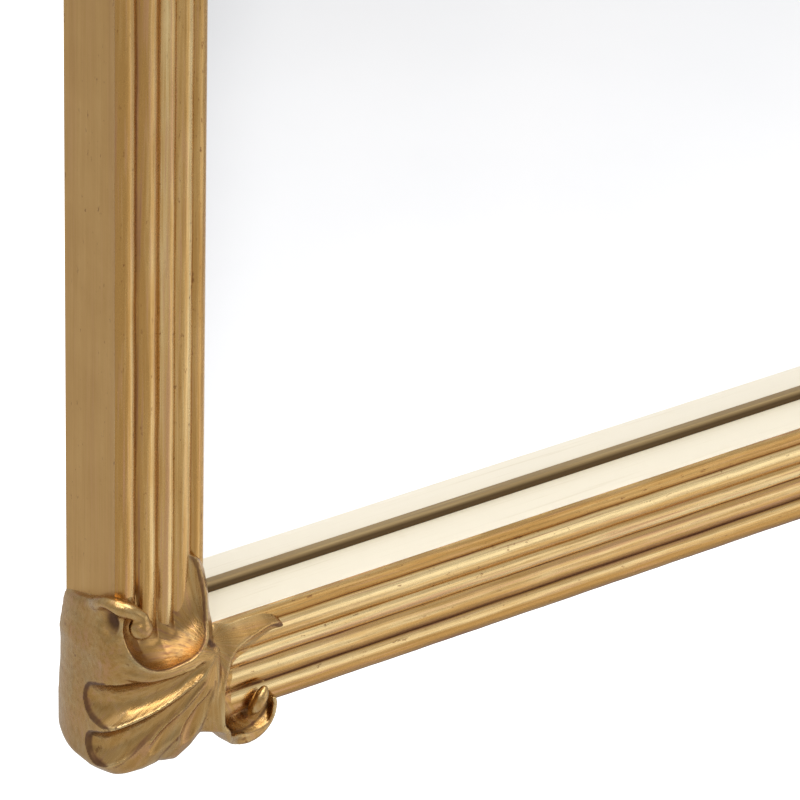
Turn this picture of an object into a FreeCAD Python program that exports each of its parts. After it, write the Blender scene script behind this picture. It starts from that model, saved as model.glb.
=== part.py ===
import FreeCAD, Part

import math
import os

import Sketcher
from FreeCAD import Placement, Rotation, Vector

# A wall mirror in a mitred, reeded and gilded frame with a carved rocaille shell on each corner.
# X runs to the right, Z up and Y towards the wall. The origin is on the wall plane, at the middle of the mirror.
# The wall pads touch that plane, and the front of the mirror faces -Y.

doc = FreeCAD.newDocument("BaroqueMirror")

# Driving sizes in millimetres
SIZES = {
    # whole frame, outer edge of the moulding to outer edge
    "overall_width": 800,
    "overall_height": 1100,
    # moulding section, heights measured forward from the back of the frame
    "moulding_width": 69,
    "outer_side_height": 51.5,
    "reed_1_width": 14.6,
    "reed_2_width": 14.1,
    "reed_3_width": 11.3,
    "reed_4_width": 12,
    "reed_5_width": 10.4,
    "reed_1_rise": 3,
    "reed_2_rise": 2.8,
    "reed_3_rise": 2.3,
    "reed_4_rise": 2.4,
    "reed_5_rise": 1.6,
    # how far each valley between reeds, and the edge of the reveal, lies behind the outer side's front edge
    "valley_1_drop": 0.5,
    "valley_2_drop": 0.1,
    "valley_3_drop": 0.1,
    "valley_4_drop": 1.3,
    "reveal_drop": 4,
    "reveal_taper": 1.6,
    "sight_edge": 2.2,
    "sight_lip_rise": 3,
    "rebate_width": 11,
    # glass, cushion sheet and board fill the rebate
    "glass_thickness": 5,
    "sheet_thickness": 4,
    "board_thickness": 6,
    "glass_edge_gap": 2,
    "board_edge_gap": 1,
    "block_length": 40,
    "block_end_distance": 92,
    # wall pads
    "pad_thickness": 8,
    "pad_radius": 9,
    "pad_tip_radius": 8,
    "pad_inset": 11.5,
    # screws
    "screw_shank_radius": 1.75,
    "screw_length": 18,
    "screw_head_radius": 3.8,
    "screw_head_height": 2.2,
    "screw_clearance": 0.05,
    # corner braces
    "brace_length": 75,
    "brace_width": 16,
    "brace_thickness": 2,
    "brace_first_hole": 42,
    "brace_second_hole": 64,
    # hanger straps and rings
    "hanger_drop": 280,
    "strap_width": 14,
    "strap_length": 52,
    "strap_thickness": 1.5,
    "strap_first_hole": 29,
    "strap_second_hole": 44,
    "ring_wire_radius": 1.6,
    "ring_half_width": 13,
    "ring_bend_radius": 3,
    "ring_leg": 3,
    "ring_rest_gap": 0.3,
    "knuckle_clearance": 0.05,
    # turn buttons
    "button_reach": 21,
    "button_width": 12,
    "button_thickness": 1.5,
    "button_gap": 0.2,
    "button_clearance": 0.1,
    "button_edge_distance": 8,
    "stile_button_end_distance": 152,
    "rail_button_end_distance": 172,
    # corner ornament
    "ornament_module": 100,
    "ornament_overhang": 8,
    "ornament_corner_radius": 15,
    "ornament_edge_radius": 13,
    "ornament_cushion_rise": 5.5,
    "dome_radius": 42,
    "dome_height": 26,
}

sheet = doc.addObject("Spreadsheet::Sheet", "Sizes")
for row, (alias, value) in enumerate(SIZES.items(), start=1):
    sheet.set(f"A{row}", alias)
    sheet.set(f"B{row}", str(value))
    sheet.setAlias(f"B{row}", alias)
doc.recompute()


class Length:
    """A length worked out from the sheet: its value, and the expression that keeps it bound."""

    def __init__(self, value, text):
        self.value = value
        self.text = text

    def __add__(self, other):
        return Length(self.value + other.value, f"({self.text} + {other.text})")

    def __sub__(self, other):
        return Length(self.value - other.value, f"({self.text} - {other.text})")

    def __neg__(self):
        return Length(-self.value, f"(-{self.text})")

    def __mul__(self, factor):
        return Length(self.value * factor, f"({self.text} * {factor})")

    def __truediv__(self, factor):
        return Length(self.value / factor, f"({self.text} / {factor})")


def size(alias):
    return Length(float(sheet.get(alias)), f"Sizes.{alias}")


NOTHING = Length(0.0, "0")
half_width = size("overall_width") / 2
half_height = size("overall_height") / 2
rebate_depth = size("glass_thickness") + size("sheet_thickness") + size("board_thickness")
rebate_wall = size("moulding_width") - size("rebate_width")
back_middle = rebate_wall / 2
frame_back = -size("pad_thickness")
sub_parts = []


def finish(obj, label):
    """Name a finished sub-part after its node and keep it for the export."""
    obj.Label = label
    sub_parts.append(obj)
    return obj


def bind(obj, prop, length):
    obj.setExpression(prop, length.text)


def bind_place(obj, x, y, z, rotation=Rotation()):
    """Turn an object and bind its place to the sheet."""
    obj.Placement = Placement(Vector(x.value, y.value, z.value), rotation)
    bind(obj, "Placement.Base.x", x)
    bind(obj, "Placement.Base.y", y)
    bind(obj, "Placement.Base.z", z)


def turned(x_axis, y_axis):
    """The rotation that takes local X and Y to the two axes given."""
    z_axis = x_axis.cross(y_axis)
    return Rotation(x_axis, y_axis, z_axis, "XYZ")


RIGHT = Vector(1, 0, 0)
UP = Vector(0, 0, 1)
TO_WALL = Vector(0, 1, 0)
FORWARD = Vector(0, -1, 0)


# Sketches drawn from bound lengths
def new_sketch(body, name, plane):
    sketch = body.newObject("Sketcher::SketchObject", name)
    origin_plane = [feature for feature in body.Origin.OriginFeatures if feature.Role == plane][0]
    sketch.AttachmentSupport = (origin_plane, "")
    sketch.MapMode = "FlatFace"
    return sketch


def pin_point(sketch, edge, vertex, x, y):
    """Hold one point of a sketch at bound distances from the origin."""
    for kind, length, axis in (("DistanceX", x, -2), ("DistanceY", y, -1)):
        if length.value == 0:
            sketch.addConstraint(Sketcher.Constraint("PointOnObject", edge, vertex, axis))
            continue
        index = sketch.addConstraint(Sketcher.Constraint(kind, -1, 1, edge, vertex, length.value))
        bind(sketch, f"Constraints[{index}]", length)


def draw_outline(sketch, corners, rises=None):
    """A closed outline: straight sides, or an arc on the left of a side that has a rise."""
    rises = rises or {}
    ends = []
    for number, (x, y) in enumerate(corners):
        next_x, next_y = corners[(number + 1) % len(corners)]
        start = Vector(x.value, y.value, 0)
        end = Vector(next_x.value, next_y.value, 0)
        if number not in rises:
            edge = sketch.addGeometry(Part.LineSegment(start, end), False)
            ends.append((edge, 1, 2))
            continue
        rise = rises[number]
        along = (end - start).normalize()
        crown = (start + end) * 0.5 + Vector(-along.y, along.x, 0) * rise.value
        edge = sketch.addGeometry(Part.Arc(start, crown, end), False)
        # an arc is stored anticlockwise, so one on the left of its side starts at the side's end
        ends.append((edge, 2, 1))
        chord = f"(({(next_x - x).text})^2 + ({(next_y - y).text})^2)"
        radius = Length(0.0, f"{chord} / (8 * {rise.text}) + {rise.text} / 2")
        index = sketch.addConstraint(
            Sketcher.Constraint("Radius", edge, sketch.Geometry[edge].Radius))
        bind(sketch, f"Constraints[{index}]", radius)
    for number, (x, y) in enumerate(corners):
        edge, start_vertex, _ = ends[number]
        last_edge, _, last_vertex = ends[number - 1]
        sketch.addConstraint(Sketcher.Constraint("Coincident", last_edge, last_vertex, edge, start_vertex))
        pin_point(sketch, edge, start_vertex, x, y)


def draw_circle(sketch, x, y, radius):
    circle = sketch.addGeometry(Part.Circle(Vector(x.value, y.value, 0), Vector(0, 0, 1), radius.value), False)
    pin_point(sketch, circle, 3, x, y)
    index = sketch.addConstraint(Sketcher.Constraint("Radius", circle, radius.value))
    bind(sketch, f"Constraints[{index}]", radius)


def pad_sketch(body, sketch, length):
    pad = body.newObject("PartDesign::Pad", f"{body.Name}Pad")
    pad.Profile = sketch
    bind(pad, "Length", length)
    doc.recompute()
    return pad


def pocket_sketch(body, sketch, depth=None):
    """Cut a sketch into a body, all the way through where no depth is given, and see that it cut."""
    before = body.Shape.Volume
    pocket = body.newObject("PartDesign::Pocket", f"{sketch.Name}Pocket")
    pocket.Profile = sketch
    if depth is None:
        pocket.Type = "ThroughAll"
    else:
        bind(pocket, "Length", depth)
    doc.recompute()
    assert body.Shape.Volume < before, f"{sketch.Name} cuts nothing"


# Moulding section: x from the outer edge towards the glass, y forward from the back
def moulding_outline():
    x = NOTHING
    corners = [(x, NOTHING), (x, size("outer_side_height"))]
    drops = ("valley_1_drop", "valley_2_drop", "valley_3_drop", "valley_4_drop", "reveal_drop")
    rises = {}
    for number, drop in enumerate(drops, start=1):
        rises[len(corners) - 1] = size(f"reed_{number}_rise")
        x = x + size(f"reed_{number}_width")
        corners.append((x, size("outer_side_height") - size(drop)))
    sight_height = rebate_depth + size("sight_edge")
    corners.append((x + size("reveal_taper"), sight_height + size("sight_lip_rise")))
    corners.append((size("moulding_width"), sight_height))
    corners.append((size("moulding_width"), rebate_depth))
    corners.append((rebate_wall, rebate_depth))
    corners.append((rebate_wall, NOTHING))
    return corners, rises


def moulding_length(name, length, place, rotation, pilot_holes):
    """One mitred length of the frame, with pilot holes for the hardware on its back."""
    body = doc.addObject("PartDesign::Body", name)
    section = new_sketch(body, f"{name}_section", "XY_Plane")
    draw_outline(section, *moulding_outline())
    pad_sketch(body, section, length)
    width = size("moulding_width")
    near_mitre = new_sketch(body, f"{name}_near_mitre", "XZ_Plane")
    draw_outline(near_mitre, [(NOTHING, NOTHING), (width, NOTHING), (width, width)])
    pocket_sketch(body, near_mitre)
    far_mitre = new_sketch(body, f"{name}_far_mitre", "XZ_Plane")
    draw_outline(far_mitre, [(NOTHING, length), (width, length - width), (width, length)])
    pocket_sketch(body, far_mitre)
    pilots = new_sketch(body, f"{name}_pilots", "XZ_Plane")
    for across, along in pilot_holes:
        draw_circle(pilots, across, along, size("screw_shank_radius") + size("screw_clearance"))
    pocket_sketch(body, pilots, size("screw_length"))
    bind_place(body, *place, rotation)
    return finish(body, name)


# Places of the hardware along one length of moulding, from either end
brace_corner = back_middle - size("brace_width") / 2
brace_holes = [brace_corner + size("brace_first_hole"), brace_corner + size("brace_second_hole")]
button_pivot = rebate_wall - size("button_edge_distance")


def brace_pilots(length):
    near = [(back_middle, hole) for hole in brace_holes]
    far = [(back_middle, length - hole) for hole in brace_holes]
    return near + far


def button_pilots(length, end_distance):
    place = rebate_wall + end_distance
    return [(button_pivot, place), (button_pivot, length - place)]


def strap_pilots(axis_place, direction):
    holes = (size("strap_first_hole"), size("strap_second_hole"))
    return [(back_middle, axis_place + hole * direction) for hole in holes]


stile_length = size("overall_height")
rail_length = size("overall_width")
stile_pilots = brace_pilots(stile_length) + button_pilots(stile_length, size("stile_button_end_distance"))
rail_pilots = brace_pilots(rail_length) + button_pilots(rail_length, size("rail_button_end_distance"))

left_stile = moulding_length(
    "left_stile", stile_length, (-half_width, frame_back, half_height), turned(RIGHT, FORWARD),
    stile_pilots + strap_pilots(size("hanger_drop"), 1))
right_stile = moulding_length(
    "right_stile", stile_length, (half_width, frame_back, -half_height), turned(-RIGHT, FORWARD),
    stile_pilots + strap_pilots(stile_length - size("hanger_drop"), -1))
bottom_rail = moulding_length(
    "bottom_rail", rail_length, (-half_width, frame_back, -half_height), turned(UP, FORWARD), rail_pilots)
top_rail = moulding_length(
    "top_rail", rail_length, (half_width, frame_back, half_height), turned(-UP, FORWARD), rail_pilots)


# Glass, cushion sheet and backing board, stacked in the rebate
def rebate_panel(name, edge_gap, thickness, behind):
    """A panel that fills the rebate but for its edge gap, at a distance in front of the frame's back."""
    panel = doc.addObject("Part::Box", name)
    inset = rebate_wall + edge_gap
    bind(panel, "Length", size("overall_width") - inset * 2)
    bind(panel, "Width", thickness)
    bind(panel, "Height", size("overall_height") - inset * 2)
    bind_place(panel, inset - half_width, frame_back - behind - thickness, inset - half_height)
    return finish(panel, name)


rebate_panel("backing_board", size("board_edge_gap"), size("board_thickness"), NOTHING)
rebate_panel("cushion_sheet", size("board_edge_gap"), size("sheet_thickness"), size("board_thickness"))
rebate_panel("mirror_glass", size("glass_edge_gap"), size("glass_thickness"),
             size("board_thickness") + size("sheet_thickness"))


# Setting blocks between the edge of the glass and the wall of the rebate
def setting_block(name, x, z, x_length, z_length):
    block = doc.addObject("Part::Box", name)
    bind(block, "Length", x_length)
    bind(block, "Width", size("glass_thickness"))
    bind(block, "Height", z_length)
    bind_place(block, x, frame_back - rebate_depth, z)
    finish(block, name)


block_length = size("block_length")
gap = size("glass_edge_gap")
rebate_x = half_width - rebate_wall
rebate_z = half_height - rebate_wall
block_x = rebate_x - size("block_end_distance")
block_z = rebate_z - size("block_end_distance")
for side, x in (("left", -block_x), ("right", block_x - block_length)):
    setting_block(f"bottom_{side}_block", x, -rebate_z, block_length, gap)
    setting_block(f"top_{side}_block", x, rebate_z - gap, block_length, gap)
for level, z in (("lower", -block_z), ("upper", block_z - block_length)):
    setting_block(f"left_{level}_block", -rebate_x, z, gap, block_length)
    setting_block(f"right_{level}_block", rebate_x - gap, z, gap, block_length)


# Corners of the frame, as signs of X and Z
CORNERS = {
    "lower_left": (-1, -1),
    "lower_right": (1, -1),
    "upper_left": (-1, 1),
    "upper_right": (1, 1),
}


# Wall pads: tapered rubber buttons on the back corners
for corner, (side, level) in CORNERS.items():
    pad = doc.addObject("Part::Cone", f"{corner}_wall_pad")
    bind(pad, "Radius1", size("pad_radius"))
    bind(pad, "Radius2", size("pad_tip_radius"))
    bind(pad, "Height", size("pad_thickness"))
    bind_place(pad, (half_width - size("pad_inset")) * side, frame_back,
               (half_height - size("pad_inset")) * level, Rotation(UP, TO_WALL))
    finish(pad, f"{corner}_wall_pad")


# Screws: a domed head on a plain shank, standing on local z = 0 with the shank downwards
def screw_shape(length):
    head_radius = size("screw_head_radius").value
    head_height = size("screw_head_height").value
    shank_radius = size("screw_shank_radius").value
    shoulder = Vector(head_radius, 0, 0)
    crown = Vector(0, 0, head_height)
    # the dome's middle point lies on the circle through the shoulder and the crown, centred on the axis
    dome_radius = (head_radius ** 2 + head_height ** 2) / (2 * head_height)
    half_angle = math.asin(head_radius / dome_radius) / 2
    middle = Vector(dome_radius * math.sin(half_angle), 0,
                    head_height - dome_radius * (1 - math.cos(half_angle)))
    tip = -length.value
    outline = [
        Part.LineSegment(crown, Vector(0, 0, tip)),
        Part.LineSegment(Vector(0, 0, tip), Vector(shank_radius, 0, tip)),
        Part.LineSegment(Vector(shank_radius, 0, tip), Vector(shank_radius, 0, 0)),
        Part.LineSegment(Vector(shank_radius, 0, 0), shoulder),
        Part.Arc(shoulder, middle, crown),
    ]
    face = Part.Face(Part.Wire([curve.toShape() for curve in outline]))
    return face.revolve(Vector(0, 0, 0), Vector(0, 0, 1), 360)


def screw_group(name, head_seat, places):
    """Separate screws through hardware of one thickness into the back of the frame."""
    screws = []
    for x, z in places:
        screw = screw_shape(size("screw_length"))
        screw.Placement = Placement(
            Vector(x.value, frame_back.value + head_seat.value, z.value), Rotation(UP, TO_WALL))
        screws.append(screw)
    group = doc.addObject("Part::Feature", name)
    group.Shape = Part.makeCompound(screws)
    finish(group, name)


screw_hole = size("screw_shank_radius") + size("button_clearance")

# Corner braces: flat angle plates across the mitres
brace_x = half_width - brace_corner
brace_z = half_height - brace_corner
BRACE_ARMS = {
    "lower_left": (RIGHT, UP),
    "lower_right": (UP, -RIGHT),
    "upper_right": (-RIGHT, -UP),
    "upper_left": (-UP, RIGHT),
}
brace_screws = []
for corner, arms in BRACE_ARMS.items():
    side, level = CORNERS[corner]
    brace = doc.addObject("PartDesign::Body", f"{corner}_brace")
    plate = new_sketch(brace, f"{corner}_brace_plate", "XY_Plane")
    reach = size("brace_length")
    arm = size("brace_width")
    draw_outline(plate, [(NOTHING, NOTHING), (reach, NOTHING), (reach, arm), (arm, arm), (arm, reach),
                         (NOTHING, reach)])
    for hole in (size("brace_first_hole"), size("brace_second_hole")):
        draw_circle(plate, hole, arm / 2, screw_hole)
        draw_circle(plate, arm / 2, hole, screw_hole)
        near = (half_width - back_middle) * side
        far = (half_height - back_middle) * level
        brace_screws.append((near, (brace_z - hole) * level))
        brace_screws.append(((brace_x - hole) * side, far))
    pad_sketch(brace, plate, size("brace_thickness"))
    bind_place(brace, brace_x * side, frame_back + size("brace_thickness"), brace_z * level, turned(*arms))
    finish(brace, f"{corner}_brace")
screw_group("brace_screws", size("brace_thickness"), brace_screws)

# Hanger straps: a plate rolled round the bar of its ring at the top
bar_height = size("strap_thickness") + size("ring_rest_gap") + size("ring_wire_radius")
knuckle_bore = size("ring_wire_radius") + size("knuckle_clearance")
knuckle_radius = knuckle_bore + size("strap_thickness")
hanger_z = half_height - size("hanger_drop")


def hanger_strap(name, x):
    width = size("strap_width").value
    plate = Part.makeBox(width, size("strap_thickness").value, size("strap_length").value,
                         Vector(-width / 2, 0, -size("strap_length").value))
    axis_start = Vector(-width / 2, bar_height.value, 0)
    knuckle = Part.makeCylinder(knuckle_radius.value, width, axis_start, RIGHT)
    bore = Part.makeCylinder(knuckle_bore.value, width, axis_start, RIGHT)
    strap = plate.fuse(knuckle).cut(bore)
    for hole in (size("strap_first_hole"), size("strap_second_hole")):
        strap = strap.cut(Part.makeCylinder(
            screw_hole.value, size("strap_thickness").value, Vector(0, 0, -hole.value), TO_WALL))
    # the foot of the plate is rounded to half its width
    foot_edges = [edge for edge in strap.Edges
                  if edge.BoundBox.ZMax < -size("strap_second_hole").value - screw_hole.value
                  and edge.BoundBox.YLength > size("strap_thickness").value / 2]
    strap = strap.makeFillet(size("strap_width").value / 3, foot_edges)
    obj = doc.addObject("Part::Feature", name)
    obj.Shape = strap.removeSplitter()
    bind_place(obj, x, frame_back, hanger_z)
    finish(obj, name)


def ring_path():
    """The ring's centre line, hanging from its bar: bar, bends, legs and a half circle below."""
    half = size("ring_half_width").value
    bend = size("ring_bend_radius").value
    leg = bend + size("ring_leg").value
    slant = bend * (1 - math.sqrt(0.5))

    def at(x, z):
        return Vector(x, 0, -z)

    edges = [
        Part.LineSegment(at(bend - half, 0), at(half - bend, 0)),
        Part.Arc(at(half - bend, 0), at(half - slant, slant), at(half, bend)),
        Part.LineSegment(at(half, bend), at(half, leg)),
        Part.Arc(at(half, leg), at(0, leg + half), at(-half, leg)),
        Part.LineSegment(at(-half, leg), at(-half, bend)),
        Part.Arc(at(-half, bend), at(slant - half, slant), at(bend - half, 0)),
    ]
    return Part.Wire([edge.toShape() for edge in edges])


def hanger_ring(name, x):
    path = ring_path()
    start = path.Edges[0].Vertexes[0].Point
    section = Part.Wire(Part.Circle(start, RIGHT, size("ring_wire_radius").value).toShape())
    ring = path.makePipeShell([section], True, False)
    expected = math.pi * size("ring_wire_radius").value ** 2 * path.Length
    assert abs(abs(ring.Volume) - expected) < expected / 100, f"{name} is not a whole ring"
    obj = doc.addObject("Part::Feature", name)
    obj.Shape = ring
    bind_place(obj, x, frame_back + bar_height, hanger_z)
    finish(obj, name)


hanger_x = half_width - back_middle
strap_screws = []
for side_name, x in (("left", -hanger_x), ("right", hanger_x)):
    hanger_strap(f"{side_name}_hanger_strap", x)
    hanger_ring(f"{side_name}_hanger_ring", x)
    strap_screws.append((x, hanger_z - size("strap_first_hole")))
    strap_screws.append((x, hanger_z - size("strap_second_hole")))
screw_group("strap_screws", size("strap_thickness"), strap_screws)

# Turn buttons: round-ended plates on one screw each, over the edge of the backing board
pivot_x = half_width - button_pivot
pivot_z = half_height - button_pivot
stile_button_z = rebate_z - size("stile_button_end_distance")
rail_button_x = rebate_x - size("rail_button_end_distance")
BUTTONS = {
    "left_lower": (-pivot_x, -stile_button_z, RIGHT),
    "left_upper": (-pivot_x, stile_button_z, RIGHT),
    "right_lower": (pivot_x, -stile_button_z, -RIGHT),
    "right_upper": (pivot_x, stile_button_z, -RIGHT),
    "bottom_left": (-rail_button_x, -pivot_z, UP),
    "bottom_right": (rail_button_x, -pivot_z, UP),
    "top_left": (-rail_button_x, pivot_z, -UP),
    "top_right": (rail_button_x, pivot_z, -UP),
}
# how far each end of a button is rounded, of half its width
BUTTON_END_SHARE = 0.8
button_back = frame_back + size("button_gap")
for name, (x, z, inward) in BUTTONS.items():
    button = doc.addObject("PartDesign::Body", f"{name}_turn_button")
    plate = new_sketch(button, f"{name}_button_plate", "XY_Plane")
    half = size("button_width") / 2
    bulge = half * BUTTON_END_SHARE
    reach = size("button_reach") - bulge
    tail = -half / 2
    draw_outline(plate, [(tail, half), (reach, half), (reach, -half), (tail, -half)], {1: bulge, 3: bulge})
    draw_circle(plate, NOTHING, NOTHING, screw_hole)
    pad_sketch(button, plate, size("button_thickness"))
    bind_place(button, x, button_back, z, turned(inward, inward.cross(FORWARD)))
    finish(button, f"{name}_turn_button")
screw_group("button_screws", size("button_gap") * 2 + size("button_thickness"),
            [(x, z) for x, z, _ in BUTTONS.values()])


# Corner ornament: places are shares of the ornament's module, from the outer corner of the frame:
# along the rail, up the stile, forward of the reeds, and the radius there.
RAIL_SCROLL_SHARES = [
    (1.14, 0.49, 0.01, 0.02),
    (1.03, 0.55, 0.015, 0.04),
    (0.91, 0.57, 0.025, 0.055),
    (0.80, 0.54, 0.045, 0.07),
    (0.70, 0.47, 0.065, 0.085),
    (0.62, 0.37, 0.085, 0.10),
    (0.58, 0.25, 0.09, 0.105),
    (0.59, 0.13, 0.085, 0.10),
    (0.64, 0.02, 0.06, 0.09),
    (0.72, -0.06, 0.035, 0.08),
    (0.82, -0.11, 0.015, 0.07),
    (0.92, -0.11, 0.01, 0.06),
    (0.99, -0.05, 0.01, 0.05),
    (1.01, 0.03, 0.015, 0.045),
    (0.96, 0.09, 0.025, 0.045),
]
# the stile's scroll is the rail's turned over, but curls in tighter at its outer end
STILE_SCROLL_SHARES = [
    (0.49, 1.14, 0.01, 0.02),
    (0.55, 1.03, 0.015, 0.04),
    (0.57, 0.91, 0.025, 0.055),
    (0.54, 0.80, 0.045, 0.07),
    (0.47, 0.70, 0.065, 0.085),
    (0.37, 0.62, 0.085, 0.10),
    (0.25, 0.58, 0.09, 0.105),
    (0.13, 0.59, 0.085, 0.10),
    (0.04, 0.63, 0.065, 0.09),
    (-0.02, 0.70, 0.045, 0.08),
    (-0.06, 0.79, 0.025, 0.07),
    (-0.06, 0.88, 0.02, 0.06),
    (-0.01, 0.95, 0.02, 0.05),
    (0.06, 0.97, 0.025, 0.045),
    (0.11, 0.93, 0.03, 0.045),
]
# one outer and one inner hollow flute on the stile's half; the rail's half is the same turned over
OUTER_FLUTE_SHARES = [
    (0.52, 0.55, 0.16, 0.022),
    (0.36, 0.47, 0.22, 0.045),
    (0.18, 0.43, 0.215, 0.06),
    (0.01, 0.39, 0.155, 0.07),
    (-0.09, 0.36, 0.035, 0.075),
    (-0.12, 0.34, -0.125, 0.075),
    (-0.12, 0.33, -0.21, 0.07),
]
INNER_FLUTE_SHARES = [
    (0.50, 0.52, 0.17, 0.022),
    (0.34, 0.39, 0.235, 0.045),
    (0.18, 0.25, 0.215, 0.06),
    (0.05, 0.14, 0.13, 0.065),
    (-0.05, 0.08, 0.01, 0.065),
    (-0.11, 0.055, -0.12, 0.065),
    (-0.12, 0.045, -0.19, 0.06),
]
# plan of the cushion: two hollow arcs that meet at the root of the shell, just short of the rebate's wall,
# with the middles of the arcs as shares of the root's distance
CUSHION_ARC_END_SHARE = 0.88
CUSHION_ARC_MIDDLE_SHARES = (0.391, 1.013)
ROOT_SHARE = 0.97
ROOT_KNOB_SHARES = (0.60, 0.60, 0.055, 0.075)
RAIL_KNOB_SHARES = (0.93, 0.04, 0.025, 0.07)
STILE_KNOB_SHARES = (0.06, 0.905, 0.03, 0.065)
# filling behind the curl of each scroll: its middle, radius, front and back
RAIL_CUP_SHARES = (0.82, 0.02, 0.15, -0.015, -0.33)
STILE_CUP_SHARES = (0.045, 0.83, 0.115, -0.015, -0.33)
DOME_MIDDLE_SHARE = 0.34
DOME_BASE_SHARE = -0.045

module = size("ornament_module").value
reed_plane = (size("outer_side_height") + size("reed_1_rise")).value


def carved_point(along, up, rise):
    """A place on the lower left corner, from distances along the rail, up the stile and forward of the back."""
    return Vector(along, -rise, up)


def carved_place(along_share, up_share, rise_share):
    return carved_point(along_share * module, up_share * module, reed_plane + rise_share * module)


# rounding of a tube's last end: how far each section lies beyond it, and its radius, of the end's radius
END_CAP_SHARES = ((0.6, 0.8), (0.9, 0.44))


def tapered_tube(shares):
    """A smooth tube that follows the places and radii given, with its last end rounded."""
    points = [carved_place(*share[:3]) for share in shares]
    radii = [share[3] * module for share in shares]
    last_point = points[-1]
    last_radius = radii[-1]
    onward = (last_point - points[-2]).normalize()
    for reach_share, radius_share in END_CAP_SHARES:
        points.append(last_point + onward * (reach_share * last_radius))
        radii.append(radius_share * last_radius)
    sections = []
    side = FORWARD.cross(points[1] - points[0])
    for number, (point, radius) in enumerate(zip(points, radii)):
        before = points[max(number - 1, 0)]
        after = points[min(number + 1, len(points) - 1)]
        along = (after - before).normalize()
        # each ring is turned as the one before it, so that the tube has no twist
        side = (side - along * side.dot(along)).normalize()
        ring = Part.makeCircle(radius)
        ring.Placement = Placement(point, turned(side, along.cross(side)))
        sections.append(Part.Wire(ring))
    return Part.makeLoft(sections, True)


def knob(shares):
    return Part.makeSphere(shares[3] * module, carved_place(*shares[:3]))


def turned_over(shares):
    """The same places with the rail and the stile exchanged."""
    return [(up, along, rise, radius) for along, up, rise, radius in shares]


def cushion_outline():
    overhang = size("ornament_overhang").value
    corner = size("ornament_corner_radius").value
    arc_end = CUSHION_ARC_END_SHARE * module
    root = ROOT_SHARE * rebate_wall.value
    near, far = (share * root for share in CUSHION_ARC_MIDDLE_SHARES)
    slant = corner * (1 - math.sqrt(0.5)) - overhang

    def at(along, up):
        return carved_point(along, up, 0)

    edges = [
        Part.Arc(at(-overhang, arc_end), at(near, far), at(root, root)),
        Part.Arc(at(root, root), at(far, near), at(arc_end, -overhang)),
        Part.LineSegment(at(arc_end, -overhang), at(corner - overhang, -overhang)),
        Part.Arc(at(corner - overhang, -overhang), at(slant, slant), at(-overhang, corner - overhang)),
        Part.LineSegment(at(-overhang, corner - overhang), at(-overhang, arc_end)),
    ]
    return Part.Face(Part.Wire([edge.toShape() for edge in edges]))


def cushion_shape():
    """The mass of the shell: a block round the corner of the frame with a soft front edge, and a dome on it."""
    plan = cushion_outline()
    height = reed_plane + size("ornament_cushion_rise").value
    corner = size("ornament_corner_radius").value
    block = plan.extrude(FORWARD * height)
    outer_edges = [
        edge for edge in block.Edges
        if abs(edge.BoundBox.YMin + height) < edge.Length / module
        and abs(edge.BoundBox.YMax + height) < edge.Length / module
        and (edge.BoundBox.ZMin < 0 or edge.BoundBox.XMin < 0)
        and not (edge.BoundBox.XMax > 0 and edge.BoundBox.ZMax > corner)
    ]
    block = block.makeFillet(size("ornament_edge_radius").value, outer_edges)
    ball = Part.makeSphere(1)
    stretch = FreeCAD.Matrix()
    stretch.scale(size("dome_radius").value, size("dome_height").value, size("dome_radius").value)
    dome = ball.transformGeometry(stretch)
    dome.translate(carved_place(DOME_MIDDLE_SHARE, DOME_MIDDLE_SHARE, DOME_BASE_SHARE))
    reach = height + size("dome_height").value
    return block.fuse(dome.common(plan.extrude(FORWARD * reach)))


def cup_shape(shares):
    along, up, radius, front, back = shares
    start = carved_place(along, up, back)
    return Part.makeCylinder(radius * module, (front - back) * module, start, FORWARD)


def ornament_shape():
    """The lower left shell: cushion, scrolls, knobs and cups, hollowed by the flutes and fitted to the frame."""
    shell = cushion_shape()
    for flute in (OUTER_FLUTE_SHARES, INNER_FLUTE_SHARES):
        shell = shell.cut(tapered_tube(flute))
        shell = shell.cut(tapered_tube(turned_over(flute)))
    added = [
        tapered_tube(RAIL_SCROLL_SHARES),
        tapered_tube(STILE_SCROLL_SHARES),
        knob(ROOT_KNOB_SHARES),
        knob(RAIL_KNOB_SHARES),
        knob(STILE_KNOB_SHARES),
        cup_shape(RAIL_CUP_SHARES),
        cup_shape(STILE_CUP_SHARES),
    ]
    for piece in added:
        shell = shell.fuse(piece)
    for moulding in (left_stile, bottom_rail):
        fitted = moulding.Shape.copy()
        fitted.translate(Vector(half_width.value, -frame_back.value, half_height.value))
        shell = shell.cut(fitted)
    # chips that the fitting leaves in the valleys of the reeds are cleaned away
    return max(shell.Solids, key=lambda solid: solid.Volume)


doc.recompute()
lower_left = ornament_shape()
for corner, (side, level) in CORNERS.items():
    carved = lower_left.copy()
    if side > 0:
        carved = carved.mirror(Vector(0, 0, 0), RIGHT)
    if level > 0:
        carved = carved.mirror(Vector(0, 0, 0), UP)
    ornament = doc.addObject("Part::Feature", f"{corner}_ornament")
    ornament.Shape = carved
    bind_place(ornament, half_width * side, frame_back, half_height * level)
    finish(ornament, f"{corner}_ornament")

doc.recompute()
for obj in doc.Objects:
    assert not {"Invalid", "Error"} & set(obj.State), f"{obj.Label}: {obj.State}"
for obj in sub_parts:
    assert not obj.Shape.isNull() and obj.Shape.isValid(), f"{obj.Label} has no sound shape"

os.makedirs("parts", exist_ok=True)
for obj in sub_parts:
    obj.Shape.exportStep(f"parts/{obj.Label}.step")
    print(f"{obj.Label}: {len(obj.Shape.Solids)} solid, {obj.Shape.Volume / 1000:.1f} cm3")
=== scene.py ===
import math

import bmesh
import bpy
import numpy as np
from mathutils import Matrix, Vector


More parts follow.
